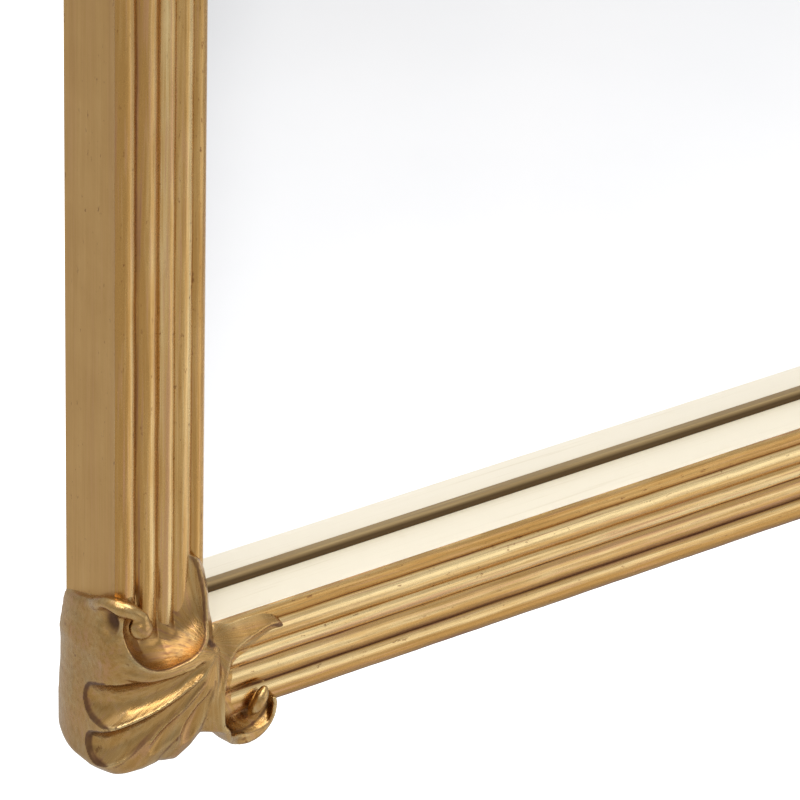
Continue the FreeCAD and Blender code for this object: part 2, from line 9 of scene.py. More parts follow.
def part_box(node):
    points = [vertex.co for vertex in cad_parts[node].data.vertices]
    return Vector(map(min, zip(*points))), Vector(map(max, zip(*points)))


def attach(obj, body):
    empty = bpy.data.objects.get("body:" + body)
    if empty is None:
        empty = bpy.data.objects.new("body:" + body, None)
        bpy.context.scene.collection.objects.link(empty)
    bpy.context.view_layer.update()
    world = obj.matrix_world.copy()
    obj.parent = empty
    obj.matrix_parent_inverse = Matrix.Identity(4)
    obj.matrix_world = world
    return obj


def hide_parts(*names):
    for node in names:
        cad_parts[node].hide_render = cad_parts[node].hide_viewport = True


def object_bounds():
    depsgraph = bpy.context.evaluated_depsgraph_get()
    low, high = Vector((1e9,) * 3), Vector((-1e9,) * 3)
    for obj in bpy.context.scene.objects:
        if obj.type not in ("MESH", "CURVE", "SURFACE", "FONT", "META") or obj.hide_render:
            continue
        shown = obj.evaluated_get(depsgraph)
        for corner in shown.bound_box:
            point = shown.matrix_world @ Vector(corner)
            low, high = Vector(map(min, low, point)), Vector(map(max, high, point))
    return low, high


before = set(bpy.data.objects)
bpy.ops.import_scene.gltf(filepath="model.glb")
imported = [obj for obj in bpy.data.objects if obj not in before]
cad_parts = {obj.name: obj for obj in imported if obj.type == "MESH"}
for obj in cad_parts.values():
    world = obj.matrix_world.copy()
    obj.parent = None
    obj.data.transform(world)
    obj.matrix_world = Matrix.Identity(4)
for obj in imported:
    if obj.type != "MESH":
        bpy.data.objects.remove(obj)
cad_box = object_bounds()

# A gilded wall mirror: reeded mouldings, a carved rocaille shell on each corner, hardware on its back.
# Sizes of the frame are in millimetres, measured at the lower left corner: along the rail from the outer
# edge, up the stile from the outer edge, and forward from the back of the frame.
MM = 0.001
stile_low, stile_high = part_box("left_stile")
rail_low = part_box("bottom_rail")[0]
HALF_WIDTH = -stile_low.x / MM
HALF_HEIGHT = -rail_low.z / MM
BACK_PLANE = stile_high.y / MM


def to_frame(along, up, forward, side=-1, level=-1):
    """Places at a corner of the frame, in metres; side and level are the corner's signs of X and Z."""
    return np.stack([
        side * (HALF_WIDTH - along) * MM,
        (BACK_PLANE - forward) * MM,
        level * (HALF_HEIGHT - up) * MM,
    ], axis=-1)


# Shader values written as Python expressions
class Value:
    """A number, colour or vector somewhere in a finish; arithmetic on numbers adds Math nodes."""

    def __init__(self, finish, socket):
        self.finish = finish
        self.socket = socket

    def math(self, operation, *others):
        return self.finish.node("ShaderNodeMath", {"operation": operation}, dict(enumerate((self, *others))))

    def __add__(self, other):
        return self.math("ADD", other)

    __radd__ = __add__

    def __mul__(self, other):
        return self.math("MULTIPLY", other)

    __rmul__ = __mul__

    def __sub__(self, other):
        return self.math("SUBTRACT", other)

    def __rsub__(self, other):
        return self.finish.node("ShaderNodeMath", {"operation": "SUBTRACT"}, {0: other, 1: self})

    def between(self, low, high):
        """Nothing below low, one above high, and a soft step between them."""
        return self.finish.node("ShaderNodeMapRange", {"interpolation_type": "SMOOTHSTEP"},
                                {"Value": self, "From Min": low, "From Max": high})


class Finish:
    """The nodes of one material or of the world."""

    def __init__(self, tree):
        self.tree = tree
        tree.nodes.clear()

    def node(self, kind, settings=None, inputs=None, output=0):
        """Any node: its settings are set first, then its sockets get their values or links."""
        node = self.tree.nodes.new(kind)
        for name, value in (settings or {}).items():
            setattr(node, name, value)
        for name, value in (inputs or {}).items():
            if isinstance(value, Value):
                self.tree.links.new(value.socket, node.inputs[name])
            else:
                node.inputs[name].default_value = value
        return Value(self, node.outputs[output])

    def attribute(self, name, output="Fac"):
        return self.node("ShaderNodeAttribute", {"attribute_name": name}, output=output)

    def stretched(self, vector, scale):
        return self.node("ShaderNodeVectorMath", {"operation": "MULTIPLY"}, {0: vector, 1: scale})

    def noise(self, vector, scale, detail=3.0, roughness=0.55):
        inputs = {"Vector": vector, "Scale": scale, "Detail": detail, "Roughness": roughness}
        return self.node("ShaderNodeTexNoise", {}, inputs)

    def cells(self, vector, scale):
        """Distance from the nearest of a scatter of points."""
        return self.node("ShaderNodeTexVoronoi", {"feature": "F1"}, {"Vector": vector, "Scale": scale})

    def mix(self, share, first, second):
        """A colour that goes from the first to the second as the share goes from nothing to one."""
        inputs = {"Factor": share, 6: self.colour(first), 7: self.colour(second)}
        return self.node("ShaderNodeMix", {"data_type": "RGBA"}, inputs, output=2)

    @staticmethod
    def colour(value):
        return value if isinstance(value, Value) else (*value, 1.0)

    def bump(self, height, distance):
        return self.node("ShaderNodeBump", {}, {"Height": height, "Distance": distance, "Strength": 1.0})

    def surface(self, **inputs):
        """A principled surface on the material's output."""
        named = {name.replace("_", " ").title(): value for name, value in inputs.items()}
        named["Base Color"] = self.colour(named["Base Color"])
        self.output(self.node("ShaderNodeBsdfPrincipled", {}, named))

    def output(self, shader, kind="ShaderNodeOutputMaterial"):
        node = self.tree.nodes.new(kind)
        self.tree.links.new(shader.socket, node.inputs["Surface"])

    def light_path(self, *names):
        """One for rays of any of the kinds named, nothing for the rest."""
        seen = self.node("ShaderNodeLightPath", {}, {}, output=names[0])
        for name in names[1:]:
            seen = seen.math("MAXIMUM", self.node("ShaderNodeLightPath", {}, {}, output=name))
        return seen

    def part(self, vector, axis):
        return self.node("ShaderNodeSeparateXYZ", {}, {0: vector}, output=axis)


def new_material(name):
    material = bpy.data.materials.new(name)
    material.use_nodes = True
    return material, Finish(material.node_tree)


# Colours, as linear light
GOLD_LEAF = (0.63, 0.385, 0.14)
PALE_GOLD = (0.94, 0.72, 0.37)
DEEP_GOLD = (0.44, 0.23, 0.06)
ROSE_GOLD = (0.58, 0.32, 0.155)
RED_BOLE_AND_SHADE = (0.20, 0.068, 0.027)
UMBER_GRIME_AND_SHADE = (0.075, 0.034, 0.013)
IVORY = (0.96, 0.88, 0.71)
WORN_AND_SHADED_IVORY = (0.74, 0.64, 0.43)
LIP_GOLD = (0.34, 0.23, 0.10)
LIP_PALE = (0.46, 0.33, 0.155)
LIP_SHADE = (0.085, 0.045, 0.010)
PINE = (0.62, 0.43, 0.25)
PINE_GRAIN = (0.42, 0.25, 0.12)
PINE_PORE = (0.24, 0.13, 0.06)
PINE_STAIN = (0.35, 0.20, 0.10)
CLEAR_SILVER = (0.955, 0.955, 0.965)
HAZY_SILVER = (0.93, 0.935, 0.95)
HARDBOARD = (0.25, 0.135, 0.06)
HARDBOARD_FIBRE = (0.15, 0.075, 0.032)
HARDBOARD_FLECK = (0.40, 0.25, 0.13)
HARDBOARD_STAIN = (0.12, 0.06, 0.028)
ZINC = (0.62, 0.62, 0.60)
DULL_ZINC = (0.46, 0.46, 0.45)
STEEL = (0.55, 0.53, 0.48)
DULL_STEEL = (0.38, 0.36, 0.32)
TARNISH = (0.30, 0.22, 0.12)
RUBBER = (0.018, 0.018, 0.019)
RUBBER_BLOOM = (0.055, 0.053, 0.05)
FELT = (0.30, 0.29, 0.27)
FELT_FIBRE = (0.48, 0.46, 0.42)
FELT_STAIN = (0.22, 0.21, 0.2)
FLOOR_PALE = (0.80, 0.80, 0.80)
FLOOR_PALER = (0.84, 0.84, 0.84)
FLOOR_TO_METAL = (0.45, 0.45, 0.45)
FLOOR_GLOW = (0.70, 0.70, 0.70)
BLACK = (0.0, 0.0, 0.0)

# How strongly each layer of the gold shows
NOISE_MIDDLE = 0.5
STREAK_PULL = 1.3
CLOUD_PULL = 0.4
PALE_FROM, PALE_TO = 0.0, 0.85
DEEP_BELOW = 0.15
DEEP_SHARE = 0.7
ROSE_SHARE = 0.8
BOLE_AND_SHADE_SHARE = 0.85
SPECK_SHARE = 0.7
BAND_STRETCH = (0.6, 26.0, 26.0)
STREAK_STRETCH = (2.5, 110.0, 110.0)
BRUSH_STRETCH = (2.0, 120.0, 120.0)


def gold_finish(name, streaky, cloudy, dull, aged, highlight_share, shade_share):
    """Leaf over red bole, streaked along the work, with painted highlight on crests and painted shade in
    hollows.

    The last six say how strong its streaks and clouds are, how dull the leaf is, how much umber grime lies
    over all of it, how pale the painted highlight is and how much umber lies in the hollows as painted shade.
    """
    material, finish = new_material(name)
    lie = finish.attribute("lie", "Vector")
    painted_shade = finish.attribute("painted_shade")
    painted_highlight = finish.attribute("painted_highlight")
    bands = finish.noise(finish.stretched(lie, BAND_STRETCH), 6.0, 3.0)
    streaks = finish.noise(finish.stretched(lie, STREAK_STRETCH), 6.0, 4.0)
    clouds = finish.noise(lie, 34.0, 5.0)
    fine = finish.noise(finish.stretched(lie, (0.25, 1.0, 1.0)), 700.0, 2.0)
    specks = finish.noise(finish.stretched(lie, (0.4, 1.0, 1.0)), 330.0, 3.0, 0.7)

    streak_pull = STREAK_PULL * streaky
    # tone carries the painted highlight of what stands proud, and the random streaks and clouds of the leaf
    tone = painted_highlight * highlight_share + (bands + streaks - 2 * NOISE_MIDDLE) * streak_pull
    tone = tone + (clouds - NOISE_MIDDLE) * CLOUD_PULL
    leaf = finish.mix(tone.between(PALE_FROM, PALE_TO), GOLD_LEAF, PALE_GOLD)
    # deep gold where the tone falls low: painted shade where the painted highlight is below nothing, random
    # elsewhere
    leaf = finish.mix((DEEP_BELOW - tone).between(0.0, 0.5) * DEEP_SHARE, leaf, DEEP_GOLD)
    leaf = finish.mix((streaks - bands).between(0.0, 0.25) * (ROSE_SHARE * streaky), leaf, ROSE_GOLD)
    # bole shows through random wear, and as painted shade in the hollows
    wear_and_painted_light = painted_shade + (streaks - NOISE_MIDDLE) * streak_pull + (clouds - NOISE_MIDDLE) * cloudy
    wear_and_painted_light = wear_and_painted_light.between(0.35, 1.05)
    dots = specks.between(0.62, 0.69) * bands.between(0.44, 0.60)
    colour = finish.mix(wear_and_painted_light * BOLE_AND_SHADE_SHARE, leaf, RED_BOLE_AND_SHADE)
    colour = finish.mix(dots * SPECK_SHARE, colour, RED_BOLE_AND_SHADE)
    # umber as painted shade deep in the hollows; the line after is random umber grime over all
    colour = finish.mix(painted_shade.between(0.6, 1.0) * shade_share, colour, UMBER_GRIME_AND_SHADE)
    colour = finish.mix((clouds + bands).between(0.4, 1.6) * aged, colour, UMBER_GRIME_AND_SHADE)
    rough = dull + fine * 0.08 + wear_and_painted_light * 0.18 + clouds * 0.08
    ripple = clouds * 0.4 + streaks * (0.35 * streaky) + fine * 0.04
    normal = finish.bump(ripple, 0.0004 + 0.0004 * cloudy)
    finish.surface(base_color=colour, metallic=1.0 - wear_and_painted_light * 0.35, roughness=rough, normal=normal)
    return material


def reveal_finish():
    """Ivory paint, brushed and worn along the reveal, with painted shade at its foot by the sight lip."""
    material, finish = new_material("ivory_reveal")
    lie = finish.attribute("lie", "Vector")
    streaks = finish.noise(finish.stretched(lie, BRUSH_STRETCH), 5.0, 4.0)
    clouds = finish.noise(lie, 30.0, 4.0)
    painted_shade = finish.attribute("painted_shade")
    # painted shade at the reveal's foot by the sight lip, with real wear in streaks and clouds
    worn_and_shaded = streaks.between(0.55, 0.8) * 0.45 + clouds.between(0.6, 0.8) * 0.3 + painted_shade * 0.5
    colour = finish.mix(worn_and_shaded, IVORY, WORN_AND_SHADED_IVORY)
    finish.surface(base_color=colour, metallic=0.05, roughness=0.34 + clouds * 0.12,
                   normal=finish.bump(streaks + clouds, 0.0002))
    return material


def lip_finish():
    """Old gold on the sight lip, with painted shade where it meets the reveal."""
    material, finish = new_material("umber_sight_lip")
    lie = finish.attribute("lie", "Vector")
    streaks = finish.noise(finish.stretched(lie, BRUSH_STRETCH), 5.0, 4.0)
    # painted shade where the lip meets the reveal
    shaded = finish.attribute("painted_shade").between(0.05, 0.5)
    colour = finish.mix(streaks.between(0.4, 0.75), LIP_GOLD, LIP_PALE)
    colour = finish.mix(shaded, colour, LIP_SHADE)
    finish.surface(base_color=colour, metallic=0.5, roughness=0.38 + streaks * 0.1,
                   normal=finish.bump(streaks, 0.0002))
    return material


def wood_finish():
    material, finish = new_material("bare_pine")
    lie = finish.attribute("lie", "Vector")
    grain = finish.noise(finish.stretched(lie, (1.2, 55.0, 55.0)), 5.0, 5.0, 0.6)
    pores = finish.noise(finish.stretched(lie, (12.0, 420.0, 420.0)), 4.0, 2.0)
    clouds = finish.noise(lie, 9.0, 3.0)
    colour = finish.mix(grain.between(0.35, 0.7), PINE, PINE_GRAIN)
    colour = finish.mix(pores.between(0.6, 0.75) * 0.4, colour, PINE_PORE)
    colour = finish.mix(clouds.between(0.5, 0.8) * 0.3, colour, PINE_STAIN)
    normal = finish.bump(grain + pores * 0.5, 0.0003)
    finish.surface(base_color=colour, roughness=0.62 + grain * 0.15, normal=normal)
    return material


def object_space(finish):
    return finish.node("ShaderNodeTexCoord", {}, {}, output="Object")


def mirror_finish():
    material, finish = new_material("silvered_glass")
    place = object_space(finish)
    haze = finish.noise(place, 4.0, 4.0)
    colour = finish.mix(haze.between(0.3, 0.75), HAZY_SILVER, CLEAR_SILVER)
    finish.surface(base_color=colour, metallic=1.0, roughness=0.012 + haze.between(0.55, 0.8) * 0.02)
    return material


def board_finish():
    material, finish = new_material("hardboard_back")
    place = object_space(finish)
    fibres = finish.noise(finish.stretched(place, (1.0, 1.0, 3.0)), 320.0, 5.0, 0.65)
    flecks = finish.noise(finish.stretched(place, (1.0, 1.0, 0.2)), 900.0, 2.0)
    clouds = finish.noise(place, 5.0, 4.0)
    colour = finish.mix(fibres.between(0.35, 0.7), HARDBOARD, HARDBOARD_FIBRE)
    colour = finish.mix(flecks.between(0.62, 0.72) * 0.5, colour, HARDBOARD_FLECK)
    colour = finish.mix(clouds.between(0.45, 0.75) * 0.35, colour, HARDBOARD_STAIN)
    finish.surface(base_color=colour, roughness=0.55 + fibres * 0.2, normal=finish.bump(fibres, 0.0002))
    return material


def steel_finish(name, light, dark, rough):
    material, finish = new_material(name)
    place = object_space(finish)
    brushed = finish.noise(finish.stretched(place, (1.0, 1.0, 0.15)), 1800.0, 3.0)
    clouds = finish.noise(place, 130.0, 4.0)
    spangle = finish.cells(place, 260.0)
    colour = finish.mix(clouds.between(0.35, 0.7), light, dark)
    tarnish = clouds.between(0.6, 0.8) * 0.3
    colour = finish.mix(tarnish, colour, TARNISH)
    finish.surface(base_color=colour, metallic=1.0, roughness=rough + brushed * 0.12 + spangle * 0.1,
                   normal=finish.bump(brushed + clouds, 0.00008))
    return material


def rubber_finish():
    material, finish = new_material("moulded_rubber")
    place = object_space(finish)
    grain = finish.noise(place, 1400.0, 2.0)
    bloom = finish.noise(place, 160.0, 4.0)
    colour = finish.mix(bloom.between(0.4, 0.75), RUBBER, RUBBER_BLOOM)
    finish.surface(base_color=colour, roughness=0.6 + grain * 0.2, normal=finish.bump(grain, 0.0001))
    return material


def felt_finish():
    material, finish = new_material("cushion_felt")
    place = object_space(finish)
    fibres = finish.noise(finish.stretched(place, (1.0, 1.0, 2.5)), 900.0, 4.0, 0.7)
    clouds = finish.noise(place, 40.0, 4.0)
    colour = finish.mix(fibres.between(0.3, 0.7), FELT, FELT_FIBRE)
    colour = finish.mix(clouds.between(0.5, 0.8) * 0.3, colour, FELT_STAIN)
    finish.surface(base_color=colour, roughness=0.95, normal=finish.bump(fibres, 0.0004))
    return material


reeded_gold = gold_finish("reeded_gold_leaf", streaky=1.0, cloudy=0.3, dull=0.19, aged=0.06,
                          highlight_share=0.72, shade_share=0.35)
carved_gold = gold_finish("carved_gold_leaf", streaky=0.9, cloudy=0.9, dull=0.19, aged=0.52,
                          highlight_share=0.45, shade_share=0.75)
satin_gold = gold_finish("satin_gold_leaf", streaky=0.3, cloudy=0.3, dull=0.34, aged=0.02,
                         highlight_share=0.45, shade_share=0.75)
ivory_reveal = reveal_finish()
sight_lip = lip_finish()
bare_wood = wood_finish()


# Meshes and their measures
def new_piece(name, points, faces, materials, face_materials=None):
    mesh = bpy.data.meshes.new(name)
    mesh.from_pydata(points.tolist(), [], faces)
    mesh.update()
    for material in materials:
        mesh.materials.append(material)
    if face_materials is not None:
        mesh.polygons.foreach_set("material_index", face_materials)
    mesh.polygons.foreach_set("use_smooth", np.ones(len(mesh.polygons), bool))
    piece = bpy.data.objects.new(name, mesh)
    bpy.context.scene.collection.objects.link(piece)
    return piece


def add_measures(piece, lie, painted_shade, painted_highlight):
    """Where each point lies in the work, in metres, and its painted shade and painted highlight."""
    mesh = piece.data
    vector = mesh.attributes.new("lie", "FLOAT_VECTOR", "POINT")
    vector.data.foreach_set("vector", lie.astype(np.float32).ravel())
    for name, values in (("painted_shade", painted_shade), ("painted_highlight", painted_highlight)):
        number = mesh.attributes.new(name, "FLOAT", "POINT")
        number.data.foreach_set("value", values.astype(np.float32))


# Moulding section: distance in from the outer edge, and height forward of the back
MOULDING_WIDTH = 69.0
OUTER_SIDE_HEIGHT = 51.5
REED_WIDTHS = (14.4, 14.8, 10.7, 12.7, 9.8)
REED_RISES = (3.2, 3.6, 3.0, 3.0, 2.0)
VALLEY_DROPS = (0.9, 1.5, 0.6, 2.1, 4.0)
# painted shade of each half of a reed towards its edge, outer half first, and how sharply that ends: less is
# broader
REED_SHADES = (
    ((0.9, 1.2), (0.5, 4.0)), ((1.25, 1.1), (0.3, 6.0)), ((0.95, 7.0), (0.25, 3.0)),
    ((0.3, 3.0), (0.2, 8.0)), ((0.8, 1.6), (0.3, 5.0)),
)
# painted highlight across each reed, at five places from its outer edge to its inner edge; below nothing it
# gives painted shade
REED_HIGHLIGHTS = (
    (-0.8, -0.8, -0.4, 0.6, 0.2), (-0.8, -0.5, 0.4, 0.7, 0.3), (0.2, 0.7, 1.1, 0.6, 0.4),
    (-0.1, -0.1, 0.45, 1.25, 0.7), (-0.6, -0.5, -0.3, -0.1, 0.8),
)
HIGHLIGHT_PLACES = (0.0, 0.25, 0.5, 0.75, 1.0)
REVEAL_TAPER = 1.6
REBATE_DEPTH = 15.0
REBATE_WALL = 58.0
SIGHT_EDGE = 2.2
SIGHT_LIP_RISE = 3.0
FOOT_SHARPNESS = 6
SIDE_FOOT = 1.0
SIDE_SHORT = 2.2
# painted shade on the outer side
SIDE_SHADE = 0.12
EDGE_ROUND = (0.25, 0.9)
# painted shade on the rounded outer edge
EDGE_SHADE = 0.35
LIP_BELLY = 0.9
REED_ZONE = 5.0
SIDE_STEPS = 8
REED_STEPS = 14
REVEAL_STEPS = 6
LIP_STEPS = 6
BACK_STEPS = 4
GOLD, REVEAL, LIP, WOOD, SIDE = range(5)


def moulding_section():
    """Corners of the section: the finish that starts at each, and the painted shade and painted highlight of
    each.
    """
    places = []

    def add(across, height, finish, painted_shade=0.0, painted_highlight=0.0):
        places.append((across, height, finish, painted_shade, painted_highlight))

    for share in np.linspace(0.0, 1.0, SIDE_STEPS + 1)[:-1]:
        add(0.0, SIDE_FOOT + (OUTER_SIDE_HEIGHT - SIDE_SHORT) * share, SIDE, SIDE_SHADE)
    add(EDGE_ROUND[0], OUTER_SIDE_HEIGHT - EDGE_ROUND[1], GOLD, EDGE_SHADE)
    start = 0.0
    low = OUTER_SIDE_HEIGHT
    reeds = zip(REED_WIDTHS, REED_RISES, VALLEY_DROPS, REED_SHADES, REED_HIGHLIGHTS)
    for width, rise, drop, shades, highlights in reeds:
        end = start + width
        next_low = OUTER_SIDE_HEIGHT - drop
        radius = width * width / (8 * rise) + rise / 2
        for step in range(REED_STEPS):
            share = step / REED_STEPS
            off_middle = (share - 0.5) * width
            bow = math.sqrt(radius * radius - off_middle * off_middle) - radius + rise
            to_valley = abs(2 * share - 1)
            # painted shade rises towards each valley, and painted highlight follows the table across the reed
            shade, sharpness = shades[share > 0.5]
            edge_shade = shade * to_valley ** sharpness
            highlight = float(np.interp(share, HIGHLIGHT_PLACES, highlights))
            height = low + (next_low - low) * share + bow
            add(start + width * share, height, GOLD, edge_shade, highlight)
        start = end
        low = next_low
    foot = REBATE_DEPTH + SIGHT_EDGE + SIGHT_LIP_RISE
    # painted shade rises sharply to the foot of the reveal and fades across the lip
    for step in range(REVEAL_STEPS):
        share = step / REVEAL_STEPS
        add(start + REVEAL_TAPER * share, low + (foot - low) * share, REVEAL, share ** FOOT_SHARPNESS)
    lip_start = start + REVEAL_TAPER
    for step in range(LIP_STEPS):
        share = step / LIP_STEPS
        belly = LIP_BELLY * math.sin(math.pi * share)
        add(lip_start + (MOULDING_WIDTH - lip_start) * share, foot - SIGHT_LIP_RISE * share + belly, LIP,
            1.0 - share)
    add(MOULDING_WIDTH, REBATE_DEPTH + SIGHT_EDGE, LIP)
    add(MOULDING_WIDTH, REBATE_DEPTH, WOOD)
    add(REBATE_WALL, REBATE_DEPTH, WOOD)
    add(REBATE_WALL, 0.0, WOOD)
    for share in np.linspace(0.0, 1.0, BACK_STEPS + 1)[1:-1]:
        add(REBATE_WALL * (1 - share), 0.0, WOOD)
    add(SIDE_FOOT, 0.0, SIDE)
    return places


STATIONS = 121
MOULDING_CREASE = math.radians(38)
# unevenness of handwork: height, wave length along the moulding, and drift across it
HAND_RIPPLES = ((0.10, 61.0, 0.13), (0.07, 23.0, 0.31), (0.05, 97.0, 0.47))


def moulding_length(name, length, to_world, wear_and_painted_light):
    """One mitred length: the section carried along it, with the slight unevenness of handwork."""
    section = moulding_section()
    across = np.array([place[0] for place in section])
    height = np.array([place[1] for place in section])
    gilded = np.array([place[2] == GOLD for place in section])
    painted_shade = np.array([place[3] for place in section])
    painted_highlight = np.array([place[4] for place in section])
    share = np.linspace(0.0, 1.0, STATIONS)
    along = across[:, None] + share[None, :] * (length - 2 * across[:, None])
    high = np.repeat(height[:, None], STATIONS, axis=1)
    raised = gilded & (height > OUTER_SIDE_HEIGHT - REED_ZONE)
    for size, wave, drift in HAND_RIPPLES:
        ripple = size * np.sin(along / wave * 2 * math.pi + across[:, None] * drift)
        high += np.where(raised[:, None], ripple, 0.0)
    wide = np.repeat(across[:, None], STATIONS, axis=1)
    points = to_world(along.ravel(), wide.ravel(), high.ravel())
    count = len(section)
    faces = []
    finishes = []
    for edge in range(count):
        following = (edge + 1) % count
        for station in range(STATIONS - 1):
            first = edge * STATIONS + station
            second = following * STATIONS + station
            faces.append((first, first + 1, second + 1, second))
            finishes.append(section[edge][2])
    faces.append([edge * STATIONS for edge in range(count)])
    faces.append([edge * STATIONS + STATIONS - 1 for edge in reversed(range(count))])
    finishes += [WOOD, WOOD]
    materials = [reeded_gold, ivory_reveal, sight_lip, bare_wood, satin_gold]
    piece = new_piece(name, points, faces, materials, finishes)
    lie = np.stack([along.ravel(), wide.ravel(), high.ravel()], axis=1) * MM
    # painted shade and painted highlight of the section, scaled for a rail or a stile
    add_measures(piece, lie, np.repeat(painted_shade * wear_and_painted_light, STATIONS), np.repeat(painted_highlight * wear_and_painted_light, STATIONS))
    face_outward(piece)
    piece.data.set_sharp_from_angle(angle=MOULDING_CREASE)
    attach(piece, "frame")
    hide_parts(name)
    return piece


def face_outward(piece):
    work = bmesh.new()
    work.from_mesh(piece.data)
    bmesh.ops.recalc_face_normals(work, faces=work.faces)
    work.to_mesh(piece.data)
    work.free()


FULL_WIDTH = 2 * HALF_WIDTH
FULL_HEIGHT = 2 * HALF_HEIGHT
# how strongly the painted shade and painted highlight show on the rails and on the stiles
RAIL_PAINTED_LIGHT = 1.0
STILE_PAINTED_LIGHT = 0.55


def rail_places(level):
    return lambda along, across, high: to_frame(along, across, high, level=level)


def stile_places(side):
    return lambda along, across, high: to_frame(across, along, high, side=side)


moulding_length("bottom_rail", FULL_WIDTH, rail_places(-1), RAIL_PAINTED_LIGHT)
moulding_length("top_rail", FULL_WIDTH, rail_places(1), RAIL_PAINTED_LIGHT)
moulding_length("left_stile", FULL_HEIGHT, stile_places(-1), STILE_PAINTED_LIGHT)
moulding_length("right_stile", FULL_HEIGHT, stile_places(1), STILE_PAINTED_LIGHT)


# Carving: a block held as distances from its surface, on a grid in millimetres
FAR = 40.0
MARGIN = 11.0
NO_LENGTH = 1e-6
LEAST_RADIUS = 0.2


class Block:
    def __init__(self, low, high, step):
        self.low = np.array(low, np.float32)
        self.step = step
        axes = [np.arange(a, b + step / 2, step, dtype=np.float32) for a, b in zip(low, high)]
        self.along, self.up, self.forward = np.meshgrid(*axes, indexing="ij")
        self.shape = self.along.shape
        self.field = np.full(self.shape, FAR, np.float32)

    def tube(self, path):
        """Distance from a smooth tube through places given as along, up, forward and radius."""
        line = smooth_path(np.array(path, np.float32))
        reach = line[:, 3].max() + MARGIN
        low = np.floor((line[:, :3].min(0) - reach - self.low) / self.step).astype(int)
        high = np.ceil((line[:, :3].max(0) + reach - self.low) / self.step).astype(int) + 1
        cut = tuple(slice(max(a, 0), max(b, 0)) for a, b in zip(low, high))
        at = (self.along[cut], self.up[cut], self.forward[cut])
        near = np.full(at[0].shape, FAR, np.float32)
        for start, end in zip(line[:-1], line[1:]):
            run = end - start
            length_squared = max(float(run[:3] @ run[:3]), NO_LENGTH)
            share = sum((at[i] - start[i]) * run[i] for i in range(3)) / length_squared
            np.clip(share, 0, 1, out=share)
            square = sum((at[i] - start[i] - share * run[i]) ** 2 for i in range(3))
            np.minimum(near, np.sqrt(square) - (start[3] + share * run[3]), out=near)
        whole = np.full(self.shape, FAR, np.float32)
        whole[cut] = near
        return whole

    def ball(self, along, up, forward, radius):
        square = (self.along - along) ** 2 + (self.up - up) ** 2 + (self.forward - forward) ** 2
        return np.sqrt(square) - radius

    def join(self, other, soft):
        self.field = soft_least(self.field, other, soft)

    def carve(self, other, soft):
        self.field = -soft_least(-self.field, other, soft)


def soft_least(first, second, soft):
    """The lesser of two distances, with a fillet of that size where they meet."""
    overlap = np.maximum(soft - np.abs(first - second), 0.0)
    return np.minimum(first, second) - overlap * overlap / (4 * soft)


def rounded_within(first, second, radius, power=2):
    """Inside both of two distances, with the edge between them rounded."""
    a = np.maximum(radius + first, 0.0)
    b = np.maximum(radius + second, 0.0)
    length = (a ** power + b ** power) ** (1.0 / power)
    return np.minimum(np.maximum(first, second), -radius) + length


def smooth_path(places, steps=6):
    """A smooth line through the places, as the points of a Catmull-Rom spline."""
    padded = np.vstack([2 * places[0] - places[1], places, 2 * places[-1] - places[-2]])
    share = np.linspace(0, 1, steps, endpoint=False, dtype=np.float32)[:, None]
    runs = []
    for a, b, c, d in zip(padded[:-3], padded[1:-2], padded[2:-1], padded[3:]):
        bend = 2 * a - 5 * b + 4 * c - d + share * (3 * (b - c) + d - a)
        runs.append(b + 0.5 * share * (c - a + share * bend))
    line = np.vstack(runs + [places[-1:]])
    line[:, 3] = np.maximum(line[:, 3], LEAST_RADIUS)
    return line


# Shell of the lower left corner. Places on it are along the rail, up the stile and forward, then a radius.
# In its functions u, w and v are short for along, up and forward.
FLUTES = (
    [(51, 56, 80, 4), (43, 50.5, 74.5, 5), (28, 45.5, 75, 8.2), (14, 41.8, 73.5, 11.3), (3, 39.7, 70.3, 13),
     (-6.5, 38, 65.8, 14), (-15.2, 36.3, 57, 14.4), (-18.8, 34.6, 46.5, 14.2)],
    [(52, 53, 81, 3), (46.5, 44, 76, 3.2), (32, 33, 76, 6), (17, 24, 73.5, 7.6), (6, 17.5, 70, 9.3),
     (-4, 11.8, 64.5, 10.7), (-11.5, 7.6, 57.2, 11.1), (-15.3, 5, 48.5, 11)],
    [(52, 51, 82, 3), (48, 38, 77, 4.2), (38, 24, 76, 6.8), (27, 13.5, 74.3, 8.8), (19, 6, 73.5, 8.6),
     (13, 0, 74, 8)],
    [(55, 46, 80, 3), (52, 32, 74.3, 3.4), (47.5, 22, 73, 6.4), (43, 12, 72.3, 8.4), (40, 5, 73, 8.6),
     (38, -1, 74.5, 8)],
)
# far ends of the two large flutes: their walls get painted shade beyond these distances along the rail
FLUTE_ENDS = (-6.6, -6.0)
# lines of painted shade in the creases between petals
PETAL_LINES = (
    [(47, 42), (33, 28), (19.5, 19.5), (7.5, 7.5), (-4.5, -4.5)],
    [(48.5, 29.5), (42, 20), (33, 9), (23, -4), (20, -12)],
    [(55, 40), (53, 24), (51, 8), (50, -4)],
)
# centre of the painted shade in the crevice beside the root
CREVICE = (56.5, 61.5, 66.0)
SHOULDER_RIDGE = [
    (48, 58.5, 70.5, 1.6), (39, 55, 73, 2.2), (25, 53.5, 72, 2.6),
    (13.5, 54.5, 69.5, 3), (1, 58, 63.5, 3), (-6, 61, 53, 2),
]
# centre of the painted shade in the dent under the stile's lip
SIDE_DENT = (-1.0, 88.0, 52.0)
